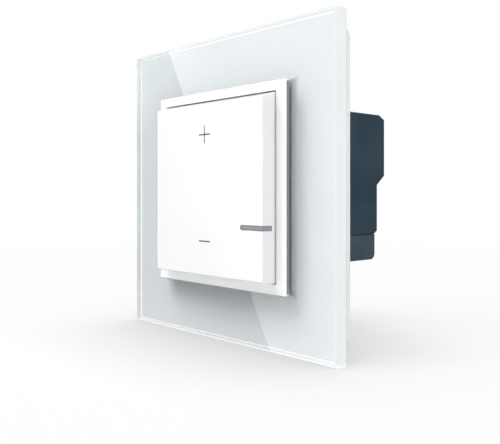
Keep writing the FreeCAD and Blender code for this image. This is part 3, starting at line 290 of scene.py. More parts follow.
def seen_by_camera(nodes):
    """1 on the camera's own rays, straight or through clear material, and 0 on rays of light."""
    undimmed = ray(nodes, "Diffuse Depth") < 0.5
    return larger(ray(nodes, "Is Camera Ray"), ray(nodes, "Is Transmission Ray") * undimmed)


# %% World
ROOM_LIGHT = 0.35
BACKDROP_FROM = 0.0
BACKDROP_FULL = 0.4
world = bpy.data.worlds.new("white_room")
world.use_nodes = True
bpy.context.scene.world = world
room = Nodes(world.node_tree)
heading = room.node("SeparateXYZ", {}, {0: room.node("TexCoord", out="Generated")}, out="Y")
backdrop = between(room, heading, BACKDROP_FROM, BACKDROP_FULL)
white_share = larger(seen_by_camera(room), ray(room, "Is Glossy Ray") * backdrop)
strength = white_share * (1 - ROOM_LIGHT) + ROOM_LIGHT
room.plug(room.tree.nodes["Background"].inputs["Color"], coloured(1.0, 1.0, 1.0))
room.plug(room.tree.nodes["Background"].inputs["Strength"], strength)
print("world light", ROOM_LIGHT)


# %% Lamps
def softbox(name, where, right, up, size, glow):
    """A broad lamp in metres, with its own right and up, whose surface glows that strongly.

    It isn't seen through the glass: its light comes through without bending, as the glass's
    shadow says, and counting the bent way as well would light the print twice.
    """
    data = bpy.data.lights.new(name, "AREA")
    data.shape = "RECTANGLE"
    data.size, data.size_y = size
    data.energy = glow * math.pi * size[0] * size[1]
    lamp = bpy.data.objects.new(name, data)
    right, up = Vector(right).normalized(), Vector(up).normalized()
    back = right.cross(up).normalized()
    lamp.matrix_world = Matrix((right, back.cross(right), back)).transposed().to_4x4()
    lamp.location = where
    lamp.visible_transmission = False
    bpy.context.scene.collection.objects.link(lamp)
    print(name, "at", tuple(where), "glow", glow)


def facing(where):
    """Level right and up of a lamp that looks at the middle of the part."""
    back = Vector(where).normalized()
    right = Vector((0, 0, 1)).cross(back).normalized()
    return right, back.cross(right)


KEY_PLACE = Vector((-0.30, -0.67, 0.83))
KEY_SIZE = (0.8, 0.5)
KEY_GLOW = 6.8
SIDE_PLACE = Vector((1.05, -0.05, 0.35))
SIDE_SIZE = (0.6, 0.6)
SIDE_GLOW = 3.9
softbox("key_light", KEY_PLACE, *facing(KEY_PLACE), KEY_SIZE, KEY_GLOW)
softbox("side_light", SIDE_PLACE, *facing(SIDE_PLACE), SIDE_SIZE, SIDE_GLOW)

# %% [markdown]
# The glass mirrors what stands on the camera's other side, and the photograph shows it: the
# panel is darker to the left of a slanting line. So a tall, weak softbox stands just there, with
# its left edge on the line. Its place comes from two sight lines that the glass turns back.


# %% A softbox in the mirror
MIRROR_FAR = 1.2
MIRROR_WIDTH = 0.6
MIRROR_HEIGHT = 1.2
MIRROR_GLOW = 2.1
LINE_LOW = (14.7, -31.4)
LINE_HIGH = (-19.0, 32.0)
glass_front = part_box("glass_panel")[0].y


def mirrored(x, z):
    """Where a sight line gets to that the glass front turns back at x, z in millimetres."""
    meets = Vector((x * MM, glass_front, z * MM))
    way = (meets - camera.location).normalized()
    return meets + MIRROR_FAR * Vector((way.x, -way.y, way.z))


low_end, high_end = mirrored(*LINE_LOW), mirrored(*LINE_HIGH)
edge_up = (high_end - low_end).normalized()
edge_middle = (high_end + low_end) / 2
edge_right = edge_middle.cross(edge_up).normalized()
edge_right *= 1 if edge_right.x > 0 else -1
softbox("mirror_light", edge_middle + edge_right * MIRROR_WIDTH / 2, edge_right, edge_up,
        (MIRROR_WIDTH, MIRROR_HEIGHT), MIRROR_GLOW)

# %% [markdown]
# ## Floor
#
# The switch stands on a white floor that hardly shows: only a faint shadow gives it away. A plain
# matt plane would look grey against the white room, so the camera sees it mostly as even white
# light, with some matt white for the shadow, and further out as even white only. That share is
# for the camera alone, so no light is added. Close to the part the even white is dimmed by how
# much of the room the part hides, as the soft contact shadow of a light tent. The glass doesn't
# mirror the floor, so that its mirror image is the softbox alone.

# %% Floor
FLOOR_HALF = 6.0
floor_mesh = bpy.data.meshes.new("floor")
shape = bmesh.new()
bmesh.ops.create_grid(shape, x_segments=1, y_segments=1, size=FLOOR_HALF,
                      matrix=Matrix.Translation((0, 0, cad_low.z)))
shape.to_mesh(floor_mesh)
shape.free()
floor = bpy.data.objects.new("floor", floor_mesh)
bpy.context.scene.collection.objects.link(floor)
floor.visible_glossy = False
print("floor at", round(cad_low.z / MM, 2), "mm")

# %% Floor finish
EVEN_FROM = 0.12
EVEN_FULL = 0.45
TENT_REACH = 0.042
TENT_DEPTH = 0.55
MATT_SHARE = 0.1
floor_finish = Finish("floor_white", {"Base Color": coloured(0.9, 0.9, 0.9), "Roughness": 0.9})
distance = floor_finish.node("VectorMath", {"operation": "LENGTH"},
                             {0: place(floor_finish)}, out="Value")
far = between(floor_finish, distance, EVEN_FROM, EVEN_FULL)
open_share = floor_finish.node("AmbientOcclusion", {"samples": 16}, {"Distance": TENT_REACH},
                               out="AO")
hidden_share = (1 - open_share) * ray(floor_finish, "Is Camera Ray")
bright = floor_finish.node("Emission", {}, {"Strength": 1.0})
dimmed = floor_finish.node("Emission", {}, {"Strength": 1 - TENT_DEPTH})
glow = mix_shaders(floor_finish, hidden_share, bright, dimmed)
matt = Signal(floor_finish, floor_finish.shader.outputs[0])
share = seen_by_camera(floor_finish) * (far * MATT_SHARE + (1 - MATT_SHARE))
floor_finish.plug(floor_finish.surface, mix_shaders(floor_finish, share, matt, glow))
floor_mesh.materials.append(floor_finish.material)
print(floor_finish.material.name, "on the floor")

# %% [markdown]
# ## Clear glass
#
# The frame is a 4 mm float glass plate with chamfered edges. Its depth shows at the edges,
# where the light bends, so it is real glass here and not a pale plate with a gloss. The
# chamfers and edges are fine-ground: most of the light that meets them is scattered, which a
# dull shader mixed in there shows. The wall of the cut-out gets a dark grey dull shader, which is
# painted shade. The sheet also carries light to its outer edges, to the upper and lower ones most
# of all, and that is painted there as a glow, an emission that is kept from the print. A lamp's
# ray can't find its way through bent glass, so for shadows only the plate is clear.

# %% Ground zones of the glass
BEZEL_OVERLAP = 1.2 * MM
EDGE_ZONE = 0.45
glass_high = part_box("glass_panel")[1]
bezel_low, bezel_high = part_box("inner_bezel")
cut_out = bezel_high.x - BEZEL_OVERLAP

glass = Finish("clear_float_glass", {"Base Color": coloured(0.965, 0.985, 0.985), "IOR": 1.52,
                                     "Transmission Weight": 1.0})
reach = off_middle(glass)
before_back = along(glass, "Y") < glass_high.y / MM - EDGE_ZONE
level_edge = abs(along(glass, "Z")) > glass_high.z / MM - EDGE_ZONE
outer_edge = (reach > glass_high.x / MM - EDGE_ZONE) * larger(before_back, level_edge)
inner_edge = reach < cut_out / MM + EDGE_ZONE
edge = outer_edge + inner_edge
print("ground glass", EDGE_ZONE, "mm wide, cut-out", round(2 * cut_out / MM, 2), "mm")

# %% Glass
GROUND_BLUR = 0.3
GROUND_SHARE = 0.65
EDGE_GLOW = 0.4
LEVEL_GLOW = 0.95
glass.feed("Roughness", edge * GROUND_BLUR)
frosted = [glass.node("BsdfDiffuse", {}, {"Color": shade})
           for shade in (coloured(0.88, 0.90, 0.90), coloured(0.94, 0.96, 0.96))]
bloom = mix_shaders(glass, grain(glass, 0.4), *frosted)
# Painted shade: a dark grey dull shader on the wall of the cut-out.
cut_wall_shade = glass.node("BsdfDiffuse", {}, {"Color": coloured(0.2, 0.204, 0.208)})
scattered = mix_shaders(glass, inner_edge, bloom, cut_wall_shade)
# Painted glow: the outer edges give off light for the camera, most at the upper and lower ones.
painted_edge_glow = glass.node("Emission", {}, {"Color": coloured(0.95, 0.98, 0.98), "Strength": 1.0})
glow_share = outer_edge * (EDGE_GLOW + level_edge * (LEVEL_GLOW - EDGE_GLOW))
glow_share *= seen_by_camera(glass)
ground = mix_shaders(glass, glow_share, scattered, painted_edge_glow)
passing = glass.node("BsdfTransparent", {}, {"Color": coloured(1.0, 1.0, 1.0)})
clear = Signal(glass, glass.shader.outputs[0])
body = mix_shaders(glass, edge * GROUND_SHARE, clear, ground)
glass.plug(glass.surface, mix_shaders(glass, ray(glass, "Is Shadow Ray"), body, passing))
dress(glass, "glass_panel")

# %% [markdown]
# ## The print behind the glass
#
# The pale colour of the frame is an enamel print on the back of the glass. It is its own thin
# piece, just inside the back face, so that it touches the glass as a print does and no air gap
# darkens it. A grid of nine cells without its middle cell gives the frame shape at once, and
# a bevel rounds the corners of its cut-out. Towards the cut-out the enamel is painted darker, a
# painted shadow of the surround. There a ring of tape behind it shows as a narrow ring of its own,
# whose dark grey is a painted shadow as well.


# %% Pieces from a grid
SAME_PLACE = 1e-7


def same(first, second):
    return abs(first - second) < SAME_PLACE


def grid_piece(name, columns, rows, kept, low_y, high_y):
    """A flat piece that stands parallel to the wall: cells of a grid, given a thickness."""
    piece = bmesh.new()
    across, up = len(columns) - 1, len(rows) - 1
    bmesh.ops.create_grid(piece, x_segments=across, y_segments=up, size=0.5,
                          matrix=Matrix.Rotation(math.radians(90), 4, "X"))
    for vertex in piece.verts:
        column = round((vertex.co.x + 0.5) * across)
        row = round((vertex.co.z + 0.5) * up)
        vertex.co = (columns[column], low_y, rows[row])
    wanted = [(columns[i] + columns[i + 1], rows[j] + rows[j + 1]) for i, j in kept]

    def is_spare(face):
        middle = 2 * face.calc_center_median()
        return not any(same(middle.x, x) and same(middle.z, z) for x, z in wanted)

    spare = [face for face in piece.faces if is_spare(face)]
    bmesh.ops.delete(piece, geom=spare, context="FACES")
    grown = bmesh.ops.extrude_face_region(piece, geom=piece.faces[:])
    moved = [part for part in grown["geom"] if isinstance(part, bmesh.types.BMVert)]
    bmesh.ops.translate(piece, verts=moved, vec=(0, high_y - low_y, 0))
    bmesh.ops.recalc_face_normals(piece, faces=piece.faces[:])
    return as_object(name, piece)


def as_object(name, piece):
    mesh = bpy.data.meshes.new(name)
    piece.to_mesh(mesh)
    piece.free()
    made = bpy.data.objects.new(name, mesh)
    bpy.context.scene.collection.objects.link(made)
    print(name, len(mesh.polygons), "faces")
    return made


# %% A frame behind the glass
PRINT_THICK = 0.02 * MM
PRINT_MARGIN = 0.8 * MM
CUT_CORNER = 1.5 * MM
CORNER_STEPS = 8
TAPE_SEEN = 0.5 * MM
SKIN = 0.01 * MM
print_outer = glass_high.x - PRINT_MARGIN
print_back = glass_high.y - SKIN


def frame_piece(name, outer, inner, corner, back):
    """A flat frame on the back of the glass, with a square hole of rounded corners."""
    edges = [-outer, -inner, inner, outer]
    ring = [(i, j) for i in range(3) for j in range(3) if (i, j) != (1, 1)]
    made = grid_piece(name, edges, edges, ring, back - PRINT_THICK, back)
    shape = bmesh.new()
    shape.from_mesh(made.data)
    corners = [edge for edge in shape.edges
               if all(same(abs(end.co.x), inner) and same(abs(end.co.z), inner)
                      for end in edge.verts)]
    bmesh.ops.bevel(shape, geom=corners, offset=corner, segments=CORNER_STEPS, profile=0.5,
                    affect="EDGES", material=-1)
    shape.to_mesh(made.data)
    shape.free()
    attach(made, "base")
    return made


# %% Print and tape
print_inner = cut_out + TAPE_SEEN
glass_print = frame_piece("glass_print", print_outer, print_inner, CUT_CORNER + TAPE_SEEN,
                          print_back - PRINT_THICK - SKIN)
tape_ring = frame_piece("tape_ring", print_inner + TAPE_SEEN, cut_out, CUT_CORNER, print_back)
print("print", round(print_outer / MM, 2), "to", round(print_inner / MM, 2), "mm from the middle")

# %% Enamel and tape, with painted shadow
PAINTED_SHADOW_WIDTH = 1.9
enamel = Finish("pale_enamel_print", {"Roughness": 0.55, "Specular IOR Level": 0.3})
cloud = grain(enamel, 30.0, detail=1.0)
fleck = grain(enamel, 0.35)
even = mix(enamel, between(enamel, cloud * 0.8 + fleck * 0.2, 0.3, 0.7),
           coloured(0.719, 0.749, 0.763), coloured(0.748, 0.779, 0.792))
# Painted shadow: the enamel turns dark grey towards the cut-out, for the surround's shadow.
painted_shadow_share = 1 - between(enamel, off_middle(enamel), print_inner / MM, print_inner / MM + PAINTED_SHADOW_WIDTH)
enamel.feed("Base Color", mix(enamel, painted_shadow_share, even, coloured(0.25, 0.258, 0.264)))
glass_print.data.materials.append(enamel.material)

# The tape's dark grey is a painted shadow of the surround.
tape = Finish("tape_painted_shadow", {"Roughness": 0.7, "Specular IOR Level": 0.2})
tape.feed("Base Color", mix(tape, grain(tape, 0.3), coloured(0.22, 0.225, 0.231),
                            coloured(0.27, 0.276, 0.284)))
tape_ring.data.materials.append(tape.material)
print(enamel.material.name, "and", tape.material.name)

# %% [markdown]
# ## White gloss plastic
#
# The surround and the rocker are moulded from white plastic in a polished mould. A perfect mirror
# gloss looks like paint, so the gloss gets a slight, broad unevenness, as cooled plastic has,
# and a very fine grain in its roughness from handling. The surround gets the same finish, with
# a white a little lighter than the rocker's as in the photograph, which is painted light that
# makes up for the rocker's shade on it, and a grey band on its outer rim next to the glass, which
# is a painted shadow.


# %% White plastic
def white_gloss(name, white):
    """Polished white plastic, and its colour as a signal so that it can be toned further."""
    gloss = Finish(name, {"IOR": 1.5})
    handled = grain(gloss, 6.0, detail=4.0)
    wave = grain(gloss, 18.0, detail=0.0)
    gloss.feed("Roughness", handled * 0.10 + 0.13)
    gloss.feed("Normal", raised(gloss, wave, 0.012))
    return gloss, mix(gloss, grain(gloss, 25.0), darkened(white, 0.98), white)


rocker_white, colour = white_gloss("white_gloss_rocker", coloured(0.85, 0.853, 0.857))
rocker_white.feed("Base Color", colour)
dress(rocker_white, "rocker")

# %% Surround
RIM_SHADE_BELOW = 0.15
RIM_SHADE_SOFT = 0.15
RIM_DEPTH = 0.1
# The surround's lighter white is painted light that makes up for the rocker's shade on it.
bezel_white, colour = white_gloss("white_gloss_surround", coloured(0.915, 0.918, 0.922))
rim_shade_from = bezel_low.y / MM + RIM_SHADE_BELOW
behind_edge = between(bezel_white, along(bezel_white, "Y"), rim_shade_from, rim_shade_from + RIM_SHADE_SOFT)
# Painted shadow: a grey band on the rim's outer wall, behind its front edge, where the surround
# meets the glass.
painted_rim_shade = behind_edge * (off_middle(bezel_white) > bezel_high.x / MM - RIM_DEPTH)
bezel_white.feed("Base Color", mix(bezel_white, painted_rim_shade, colour, coloured(0.25, 0.252, 0.256)))
dress(bezel_white, "inner_bezel")

# %% [markdown]
# ## Plus and minus
#
# Two thin grey marks on the rocker show which end brightens and which dims. They could be painted
# by the material, but a print has a crisp edge at any zoom when it is a thin piece of its own.
# The plus is again a grid of nine cells, this time without its corners.

# %% Marks
STROKE = 0.36 * MM
MARK_ARM = 2.3 * MM
MARK_HEIGHT = 13.8 * MM
MARK_SHIFT = -0.3 * MM
PROUD = 0.012 * MM
SUNK = 0.03 * MM
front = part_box("rocker")[0].y


def steps(middle, arm):
    return [middle - arm, middle - STROKE / 2, middle + STROKE / 2, middle + arm]


ink = Finish("grey_mark_ink", {"Roughness": 0.5})
ink.feed("Base Color", mix(ink, grain(ink, 0.4), coloured(0.055, 0.058, 0.062),
                           coloured(0.075, 0.078, 0.083)))
cross = [(1, 0), (0, 1), (1, 1), (2, 1), (1, 2)]
plus_mark = grid_piece("plus_mark", steps(MARK_SHIFT, MARK_ARM), steps(MARK_HEIGHT, MARK_ARM),
                       cross, front - PROUD, front + SUNK)
minus_mark = grid_piece("minus_mark", [MARK_SHIFT - MARK_ARM, MARK_SHIFT + MARK_ARM],
                        [-MARK_HEIGHT - STROKE / 2, -MARK_HEIGHT + STROKE / 2], [(0, 0)],
                        front - PROUD, front + SUNK)
for mark in (plus_mark, minus_mark):
    mark.data.materials.append(ink.material)
    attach(mark, "rocker")

# %% [markdown]
# ## The light line
#
# A strip of smoky clear plastic carries the indicator's light round the rocker's edge. With its
# light off it looks grey, a little lighter and bluer along its middle, where the pipe behind
# it ends, and darker at its left end. Round the corner it's thinner, so more light comes through.
# Its colour follows its height and length, which needs no second piece.

# %% Light guide
CORE_FROM = 0.15
CORE_END = 0.62
START_FROM = 0.2
START_END = 1.6
ROUND_FROM = 0.75
ROUND_END = 0.35
END_SHARE = 0.3
guide_low, guide_high = in_mm(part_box("light_guide"))
smoke = Finish("smoky_light_guide", {"Roughness": 0.22, "IOR": 1.49, "Coat Weight": 0.3,
                                     "Coat Roughness": 0.08})
guide_middle = (guide_low.z + guide_high.z) / 2
off_line = abs(along(smoke, "Z") - guide_middle)
core = 1 - between(smoke, off_line, CORE_FROM, CORE_END)
from_start = between(smoke, along(smoke, "X"), guide_low.x + START_FROM,
                     guide_low.x + START_END)
lit = core * (from_start * (1 - END_SHARE) + END_SHARE)
front_shade = mix(smoke, lit, coloured(0.11, 0.112, 0.121), coloured(0.195, 0.203, 0.224))
round_edge = between(smoke, along(smoke, "X"), guide_high.x - ROUND_FROM,
                     guide_high.x - ROUND_END)
smoke.feed("Base Color", mix(smoke, round_edge, front_shade, coloured(0.26, 0.272, 0.298)))
smoke.feed("Normal", raised(smoke, grain(smoke, 0.5), 0.004))
dress(smoke, "light_guide")

# %% [markdown]
# ## Dark housing plastic
#
# The housing and its terminal block are tough slate-blue plastic from a spark-eroded mould, which
# leaves a fine even grain that kills the gloss. The grain is a bump of a real depth, and
# handling shines it a little in patches, which the roughness shows.


# %% Housing plastics
def slate_plastic(name, deep, worn):
    slate = Finish(name, {"IOR": 1.5, "Specular IOR Level": 0.14})
    spark = grain(slate, 0.16, detail=3.0)
    patch = grain(slate, 9.0, detail=3.0)
    tone = between(slate, patch * 0.7 + spark * 0.3, 0.35, 0.65)
    slate.feed("Base Color", mix(slate, tone, deep, worn))
    slate.feed("Roughness", 0.62 - patch * 0.16)
    slate.feed("Normal", raised(slate, spark, 0.02))
    return slate


housing = slate_plastic("slate_housing_plastic", coloured(0.016, 0.038, 0.058),
                        coloured(0.024, 0.049, 0.071))
dress(housing, "rear_housing")
block = slate_plastic("slate_block_plastic", coloured(0.039, 0.060, 0.085),
                      coloured(0.051, 0.073, 0.099))
dress(block, "terminal_block")

# %% [markdown]
# ## Pale carrier and mechanism plastics
#
# The tray that the glass is glued to is a plain off-white moulding, and the mechanism's cover is
# a light grey one. Both are matt with a faint flow pattern, and so are the stems, the connector
# and the switch bodies. One function makes all five from their colours.


# %% Matt mouldings
def matt_moulding(name, shade, roughness):
    moulding = Finish(name, {"IOR": 1.5})
    flow = grain(moulding, 12.0, detail=2.0, stretch=(1.0, 1.0, 0.3))
    fine = grain(moulding, 0.2)
    streaks = between(moulding, flow, 0.3, 0.7)
    moulding.feed("Base Color", mix(moulding, streaks, darkened(shade, 0.94), shade))
    moulding.feed("Roughness", roughness + flow * 0.12)
    moulding.feed("Normal", raised(moulding, fine, 0.012))
    return moulding


dress(matt_moulding("off_white_carrier", coloured(0.86, 0.872, 0.88), 0.38), "glass_carrier")
dress(matt_moulding("light_grey_cover", coloured(0.46, 0.47, 0.48), 0.42), "mechanism_cover")
dress(matt_moulding("natural_acetal", coloured(0.78, 0.76, 0.70), 0.3),
      "plunger_upper", "plunger_lower")
dress(matt_moulding("black_connector_plastic", coloured(0.018, 0.018, 0.02), 0.4),
      "board_connector")
dress(matt_moulding("black_switch_plastic", coloured(0.022, 0.022, 0.024), 0.35),
      "switch_body_upper", "switch_body_lower")

# %% [markdown]
# ## Galvanised steel
#
# The wall plate is stamped from zinc-coated sheet. Zinc freezes in flat crystals, the spangle,
# which tilt the light a little from one to the next. A Voronoi pattern gives the crystals:
# each cell has its own shade and its own roughness. Fine rolling scratches lie over them.


# %% Metals
def sheet_metal(name, shade, roughness, crystal, brushing):
    """Rolled or plated sheet: crystals of a size, with scratches stretched along one axis."""
    metal = Finish(name, {"Metallic": 1.0})
    cell = metal.node("TexVoronoi", {}, {"Vector": place(metal), "Scale": 1 / (crystal * MM)},
                      out="Color")
    tone = metal.node("SeparateColor", {}, {0: cell}, out=0)
    scratch = grain(metal, 0.25, detail=3.0, stretch=brushing)
    metal.feed("Base Color", mix(metal, tone * 0.6 + scratch * 0.4, darkened(shade, 0.82), shade))
    metal.feed("Roughness", tone * 0.10 + scratch * 0.12 + roughness)
    metal.feed("Normal", raised(metal, scratch, 0.006))
    return metal


ALONG_X = (0.06, 1.0, 1.0)
ALONG_Z = (1.0, 1.0, 0.06)
dress(sheet_metal("galvanised_plate", coloured(0.62, 0.64, 0.66), 0.30, 3.5, ALONG_X),
      "support_plate")
dress(sheet_metal("tinned_switch_lid", coloured(0.66, 0.66, 0.64), 0.25, 1.2, ALONG_X),
      "switch_lid_upper", "switch_lid_lower")
dress(sheet_metal("brushed_aluminium", coloured(0.72, 0.73, 0.74), 0.28, 6.0, ALONG_Z),
      "heat_spreader")
dress(sheet_metal("nickel_cage_steel", coloured(0.60, 0.58, 0.54), 0.24, 2.0, ALONG_X),
      "terminal_cage_1", "terminal_cage_2", "terminal_cage_3")
dress(sheet_metal("terminal_brass", coloured(0.74, 0.55, 0.26), 0.26, 2.5, ALONG_Z),
      "terminal_bar_1", "terminal_bar_2", "terminal_bar_3")
dress(sheet_metal("spring_wire", coloured(0.58, 0.58, 0.58), 0.22, 0.8, ALONG_Z),
      "return_spring_upper", "return_spring_lower")

# %% [markdown]
# ## Turned screws
#
# A screw head shows fine rings from the lathe, round its own axis. The rings are a sine of the
# distance from that axis. One material serves all three clamp screws, because their axes are
# a pitch apart, and the place across is folded back onto one screw by a ping-pong.


# %% Turned steel
RING_TURN = 40


def turned_steel(name, shade, pitch, first_x, z_places):
    """Plated steel with lathe rings round axes that run along Y."""
    steel = Finish(name, {"Metallic": 1.0})
    x = along(steel, "X")
    folded = x.maths("PINGPONG", x - first_x, pitch / 2)
    z = along(steel, "Z")
    nearest = abs(z - z_places[0])
    for other in z_places[1:]:
        nearest = smaller(nearest, abs(z - other))
    rings = ripple(length(folded, nearest) * RING_TURN)
    wear = grain(steel, 1.5, detail=3.0)
    steel.feed("Base Color", mix(steel, wear, darkened(shade, 0.8), shade))
    steel.feed("Roughness", wear * 0.15 + 0.22)
    steel.feed("Normal", raised(steel, rings, 0.003))
    return steel


# %% Clamp screws
screw_low, screw_high = in_mm(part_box("terminal_screw_2"))
next_low, next_high = in_mm(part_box("terminal_screw_3"))
clamp_z = (screw_low.z + screw_high.z) / 2
clamp_pitch = (next_low.x + next_high.x - screw_low.x - screw_high.x) / 2
dress(turned_steel("clamp_screw_steel", coloured(0.64, 0.62, 0.56), clamp_pitch, 0.0, [clamp_z]),
      "terminal_screw_1", "terminal_screw_2", "terminal_screw_3")

# %% Housing screws
HEAD_RADIUS = 1.9
four_low, four_high = in_mm(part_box("housing_screws"))
across = four_high.x - four_low.x - 2 * HEAD_RADIUS
dress(turned_steel("housing_screw_steel", coloured(0.60, 0.61, 0.62), across,
                   four_low.x + HEAD_RADIUS,
                   [four_low.z + HEAD_RADIUS, four_high.z - HEAD_RADIUS]), "housing_screws")

# %% [markdown]
# ## Clear plastic
#
# The light pipe is clear acrylic and the indicator is a small cast block with a milky face. Both
# sit behind the rocker. The pipe is real clear plastic with a faint flow line in it, and the
# indicator is a pale body whose middle, over its chip, is a touch warmer.

# %% Light pipe
acrylic = Finish("clear_acrylic", {"Base Color": coloured(0.97, 0.98, 0.99), "IOR": 1.49,
                                   "Transmission Weight": 1.0})
streak = grain(acrylic, 0.8, stretch=(1.0, 0.1, 1.0))
acrylic.feed("Roughness", streak * 0.08 + 0.02)
acrylic.feed("Normal", raised(acrylic, streak, 0.004))
dress(acrylic, "light_pipe")

# %% Indicator
LENS_HALF = 0.65
LENS_SKIN = 0.05
led_low, led_high = in_mm(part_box("indicator_led"))
milky = Finish("milky_indicator", {"Roughness": 0.3, "Coat Weight": 0.4})
from_axis = abs(along(milky, "X") - (led_low.x + led_high.x) / 2)
from_level = abs(along(milky, "Z") - (led_low.z + led_high.z) / 2)
at_front = along(milky, "Y") < led_low.y + LENS_SKIN
in_lens = (from_axis < LENS_HALF) * (from_level < LENS_HALF) * at_front
milky.feed("Base Color", mix(milky, in_lens, coloured(0.80, 0.80, 0.78),
                             coloured(0.86, 0.74, 0.30)))
milky.feed("Normal", raised(milky, grain(milky, 0.3), 0.006))
dress(milky, "indicator_led")

# %% [markdown]
# ## Circuit boards
#
# Both boards are green laminate. Under the lacquer run copper tracks, mostly straight and at right
# angles, and a brick pattern looks just so when its mortar is taken for tracks. The
# lacquer covers the two faces only: the sawn edges are bare, straw-coloured laminate.

# %% Boards
CROSS_SQUEEZE = 0.7
CROSS_SHIFT = 40
board = Finish("green_circuit_board", {"Coat Weight": 0.35, "Coat Roughness": 0.12})
flat = board.node("CombineXYZ", {}, {0: along(board, "X"), 1: along(board, "Z")})
turned = board.node("CombineXYZ", {}, {0: along(board, "Z") * CROSS_SQUEEZE + CROSS_SHIFT,
                                       1: along(board, "X")})
wide = {"Color1": coloured(0, 0, 0), "Color2": coloured(0, 0, 0), "Mortar": coloured(1, 1, 1),
        "Scale": 1.0, "Mortar Size": 0.22, "Mortar Smooth": 0.1, "Brick Width": 7.3,
        "Row Height": 3.1}
tracks = board.node("TexBrick", {"offset": 0.37}, {**wide, "Vector": flat})
more = board.node("TexBrick", {"offset": 0.61}, {**wide, "Vector": turned, "Brick Width": 11.0})
track = larger(tracks, more)
normal = board.node("TexCoord", out="Normal")
on_face = abs(board.node("SeparateXYZ", {}, {0: normal}, out="Y")) > 0.5
lacquer = mix(board, track, coloured(0.010, 0.115, 0.045), coloured(0.022, 0.19, 0.075))
fibre = mix(board, grain(board, 0.3, stretch=(0.2, 1, 0.2)), coloured(0.42, 0.38, 0.22),
            coloured(0.52, 0.48, 0.30))
board.feed("Base Color", mix(board, on_face, fibre, lacquer))
board.feed("Roughness", 0.45 - on_face * 0.15 + grain(board, 2.0) * 0.08)
board.feed("Normal", raised(board, track * on_face, 0.03))
dress(board, "control_board", "power_board")

# %% [markdown]
# ## Chips and transistors
#
# The controller and the two power transistors are pressed from black mould compound, a slightly
# sandy black. A small round dimple marks the controller's first pin. The transistors' legs
# are tinned, so the colour and the metal change where the legs leave the body.

# %% Controller
DOT_INSET = 1.3
DOT_INNER = 0.18
DOT_OUTER = 0.30
chip_high = in_mm(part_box("microcontroller"))[1]
chip = Finish("black_mould_compound", {"Specular IOR Level": 0.35})
sand = grain(chip, 0.12, detail=3.0)
dot_x = along(chip, "X") - (chip_high.x - DOT_INSET)
dot_z = along(chip, "Z") - (chip_high.z - DOT_INSET)
dimple = between(chip, dot_x * dot_x + dot_z * dot_z, DOT_INNER, DOT_OUTER)
chip.feed("Base Color", mix(chip, sand, coloured(0.014, 0.014, 0.015),
                            coloured(0.028, 0.028, 0.030)))
chip.feed("Roughness", 0.42 + sand * 0.2)
chip.feed("Normal", raised(chip, dimple + sand * 0.15, 0.08))
dress(chip, "microcontroller")

# %% Transistors
LEG_LENGTH = 3.0
LEG_FADE = 0.02
leg_end = in_mm(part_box("transistor_upper"))[0].y + LEG_LENGTH
transistor = Finish("transistor_body", {"Specular IOR Level": 0.4})
sand = grain(transistor, 0.12, detail=3.0)
legs = 1 - between(transistor, along(transistor, "Y"), leg_end - LEG_FADE, leg_end + LEG_FADE)
black = mix(transistor, sand, coloured(0.014, 0.014, 0.015), coloured(0.028, 0.028, 0.030))
transistor.feed("Base Color", mix(transistor, legs, black, coloured(0.62, 0.61, 0.58)))
transistor.feed("Metallic", legs)
transistor.feed("Roughness", 0.5 - legs * 0.22)
transistor.feed("Normal", raised(transistor, sand * (1 - legs), 0.012))
dress(transistor, "transistor_upper", "transistor_lower")

# %% [markdown]
# ## Choke
#
# The choke is a grey-black ferrite bobbin with enamelled copper wire on it. The ridges of the
# winding are in its shape already. Between them runs the finer pitch of the wire itself,
# which is a sine along the axis, and the enamel gives the copper a clear, darker coat.

# %% Ferrite core
ferrite = Finish("grey_ferrite", {"Specular IOR Level": 0.5})
sinter = grain(ferrite, 0.25, detail=4.0)
ferrite.feed("Base Color", mix(ferrite, sinter, coloured(0.035, 0.034, 0.034),
                               coloured(0.065, 0.064, 0.064)))
ferrite.feed("Roughness", 0.45 + sinter * 0.25)
ferrite.feed("Normal", raised(ferrite, sinter, 0.02))
dress(ferrite, "choke_core")

# %% Copper winding
WIRE = 0.42
copper = Finish("enamelled_copper", {"Metallic": 1.0, "Coat Weight": 0.6,
                                     "Coat Roughness": 0.1})
lay = ripple(along(copper, "Y") * (2 * math.pi / WIRE))
copper.feed("Base Color", mix(copper, lay, coloured(0.30, 0.09, 0.035),
                              coloured(0.72, 0.27, 0.11)))
copper.feed("Roughness", 0.34 - lay * 0.1)
copper.feed("Normal", raised(copper, lay, 0.08))
dress(copper, "choke_winding")

# %% [markdown]
# ## Capacitors
#
# The film capacitor is a yellow moulded box. The electrolytic one is an aluminium can in a dark
# sleeve: the sleeve leaves the can's end bare, with the cross of its safety vent pressed in,
# and a pale stripe runs along its negative side.

# %% Film capacitor
yellow = Finish("yellow_capacitor_box", {"IOR": 1.5})
cast = grain(yellow, 0.3, detail=3.0)
yellow.feed("Base Color", mix(yellow, grain(yellow, 5.0), coloured(0.68, 0.46, 0.05),
                              coloured(0.76, 0.54, 0.08)))
yellow.feed("Roughness", 0.32 + cast * 0.12)
yellow.feed("Normal", raised(yellow, cast, 0.008))
dress(yellow, "film_capacitor")

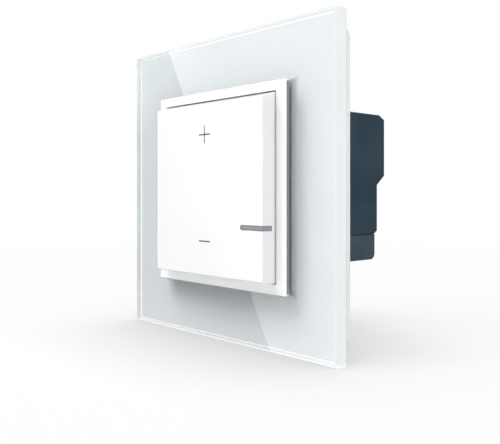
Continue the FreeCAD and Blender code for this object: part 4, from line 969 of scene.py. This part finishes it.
# %% Electrolytic capacitor
BARE_END = 0.45
SLEEVE_LIP = 0.35
STRIPE_HALF = 0.9
VENT_FROM = 0.08
VENT_FULL = 0.2
can_low, can_high = in_mm(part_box("electrolytic_capacitor"))
can_x, can_z = (can_low.x + can_high.x) / 2, (can_low.z + can_high.z) / 2
can_radius = (can_high.x - can_low.x) / 2
can = Finish("capacitor_can", {"Coat Weight": 0.2})
out_x, out_z = along(can, "X") - can_x, along(can, "Z") - can_z
in_lip = length(out_x, out_z) < can_radius - SLEEVE_LIP
bare = (along(can, "Y") > can_high.y - BARE_END) * in_lip
stripe = (abs(out_z) < STRIPE_HALF) * (out_x < 0)
sleeve = mix(can, stripe, coloured(0.012, 0.02, 0.055), coloured(0.42, 0.46, 0.52))
can.feed("Base Color", mix(can, bare, sleeve, coloured(0.70, 0.71, 0.72)))
can.feed("Metallic", bare)
can.feed("Roughness", 0.34 + grain(can, 1.0) * 0.1)
vent = between(can, smaller(abs(out_x), abs(out_z)), VENT_FROM, VENT_FULL)
can.feed("Normal", raised(can, vent * bare + grain(can, 0.4) * 0.05, 0.12))
dress(can, "electrolytic_capacitor")

# %% [markdown]
# ## Fuse and varistor
#
# The fuse is a white ceramic tube between two nickel caps, and the varistor a disc dipped in blue
# resin on two tinned wires. Each is one solid, so the place along it tells which material a
# point belongs to.

# %% Fuse
FUSE_CAP = 1.8
CAP_SEAM = 0.02
fuse_low, fuse_high = in_mm(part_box("fuse"))
fuse = Finish("ceramic_fuse", {"IOR": 1.5})
to_end = abs(along(fuse, "X") - (fuse_low.x + fuse_high.x) / 2)
cap = to_end > (fuse_high.x - fuse_low.x) / 2 - FUSE_CAP - CAP_SEAM
glaze = grain(fuse, 0.6, detail=3.0)
fuse.feed("Base Color", mix(fuse, cap, mix(fuse, glaze, coloured(0.70, 0.69, 0.65),
                                           coloured(0.78, 0.77, 0.73)),
                            coloured(0.62, 0.60, 0.56)))
fuse.feed("Metallic", cap)
fuse.feed("Roughness", 0.5 - cap * 0.25 + glaze * 0.1)
fuse.feed("Normal", raised(fuse, glaze, 0.01))
dress(fuse, "fuse")

# %% Varistor
STANDOFF = 1.0
DIP_FADE = 0.6
wire_end = in_mm(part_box("varistor"))[0].y + STANDOFF
varistor = Finish("blue_dipped_resin", {"Coat Weight": 0.5, "Coat Roughness": 0.15})
wire = 1 - between(varistor, along(varistor, "Y"), wire_end, wire_end + DIP_FADE)
drip = grain(varistor, 1.6, detail=1.0)
varistor.feed("Base Color", mix(varistor, wire, mix(varistor, drip, coloured(0.015, 0.07, 0.24),
                                                    coloured(0.025, 0.10, 0.31)),
                                coloured(0.62, 0.61, 0.58)))
varistor.feed("Metallic", wire)
varistor.feed("Roughness", 0.35 + drip * 0.1)
varistor.feed("Normal", raised(varistor, drip, 0.12))
dress(varistor, "varistor")

# %% [markdown]
# ## Check and finish
#
# Every node should have its finish by now.

# %% Finish
plain = [name for name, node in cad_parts.items()
         if not node.material_slots or not node.material_slots[0].material.use_nodes]
print("nodes without a finish:", plain)
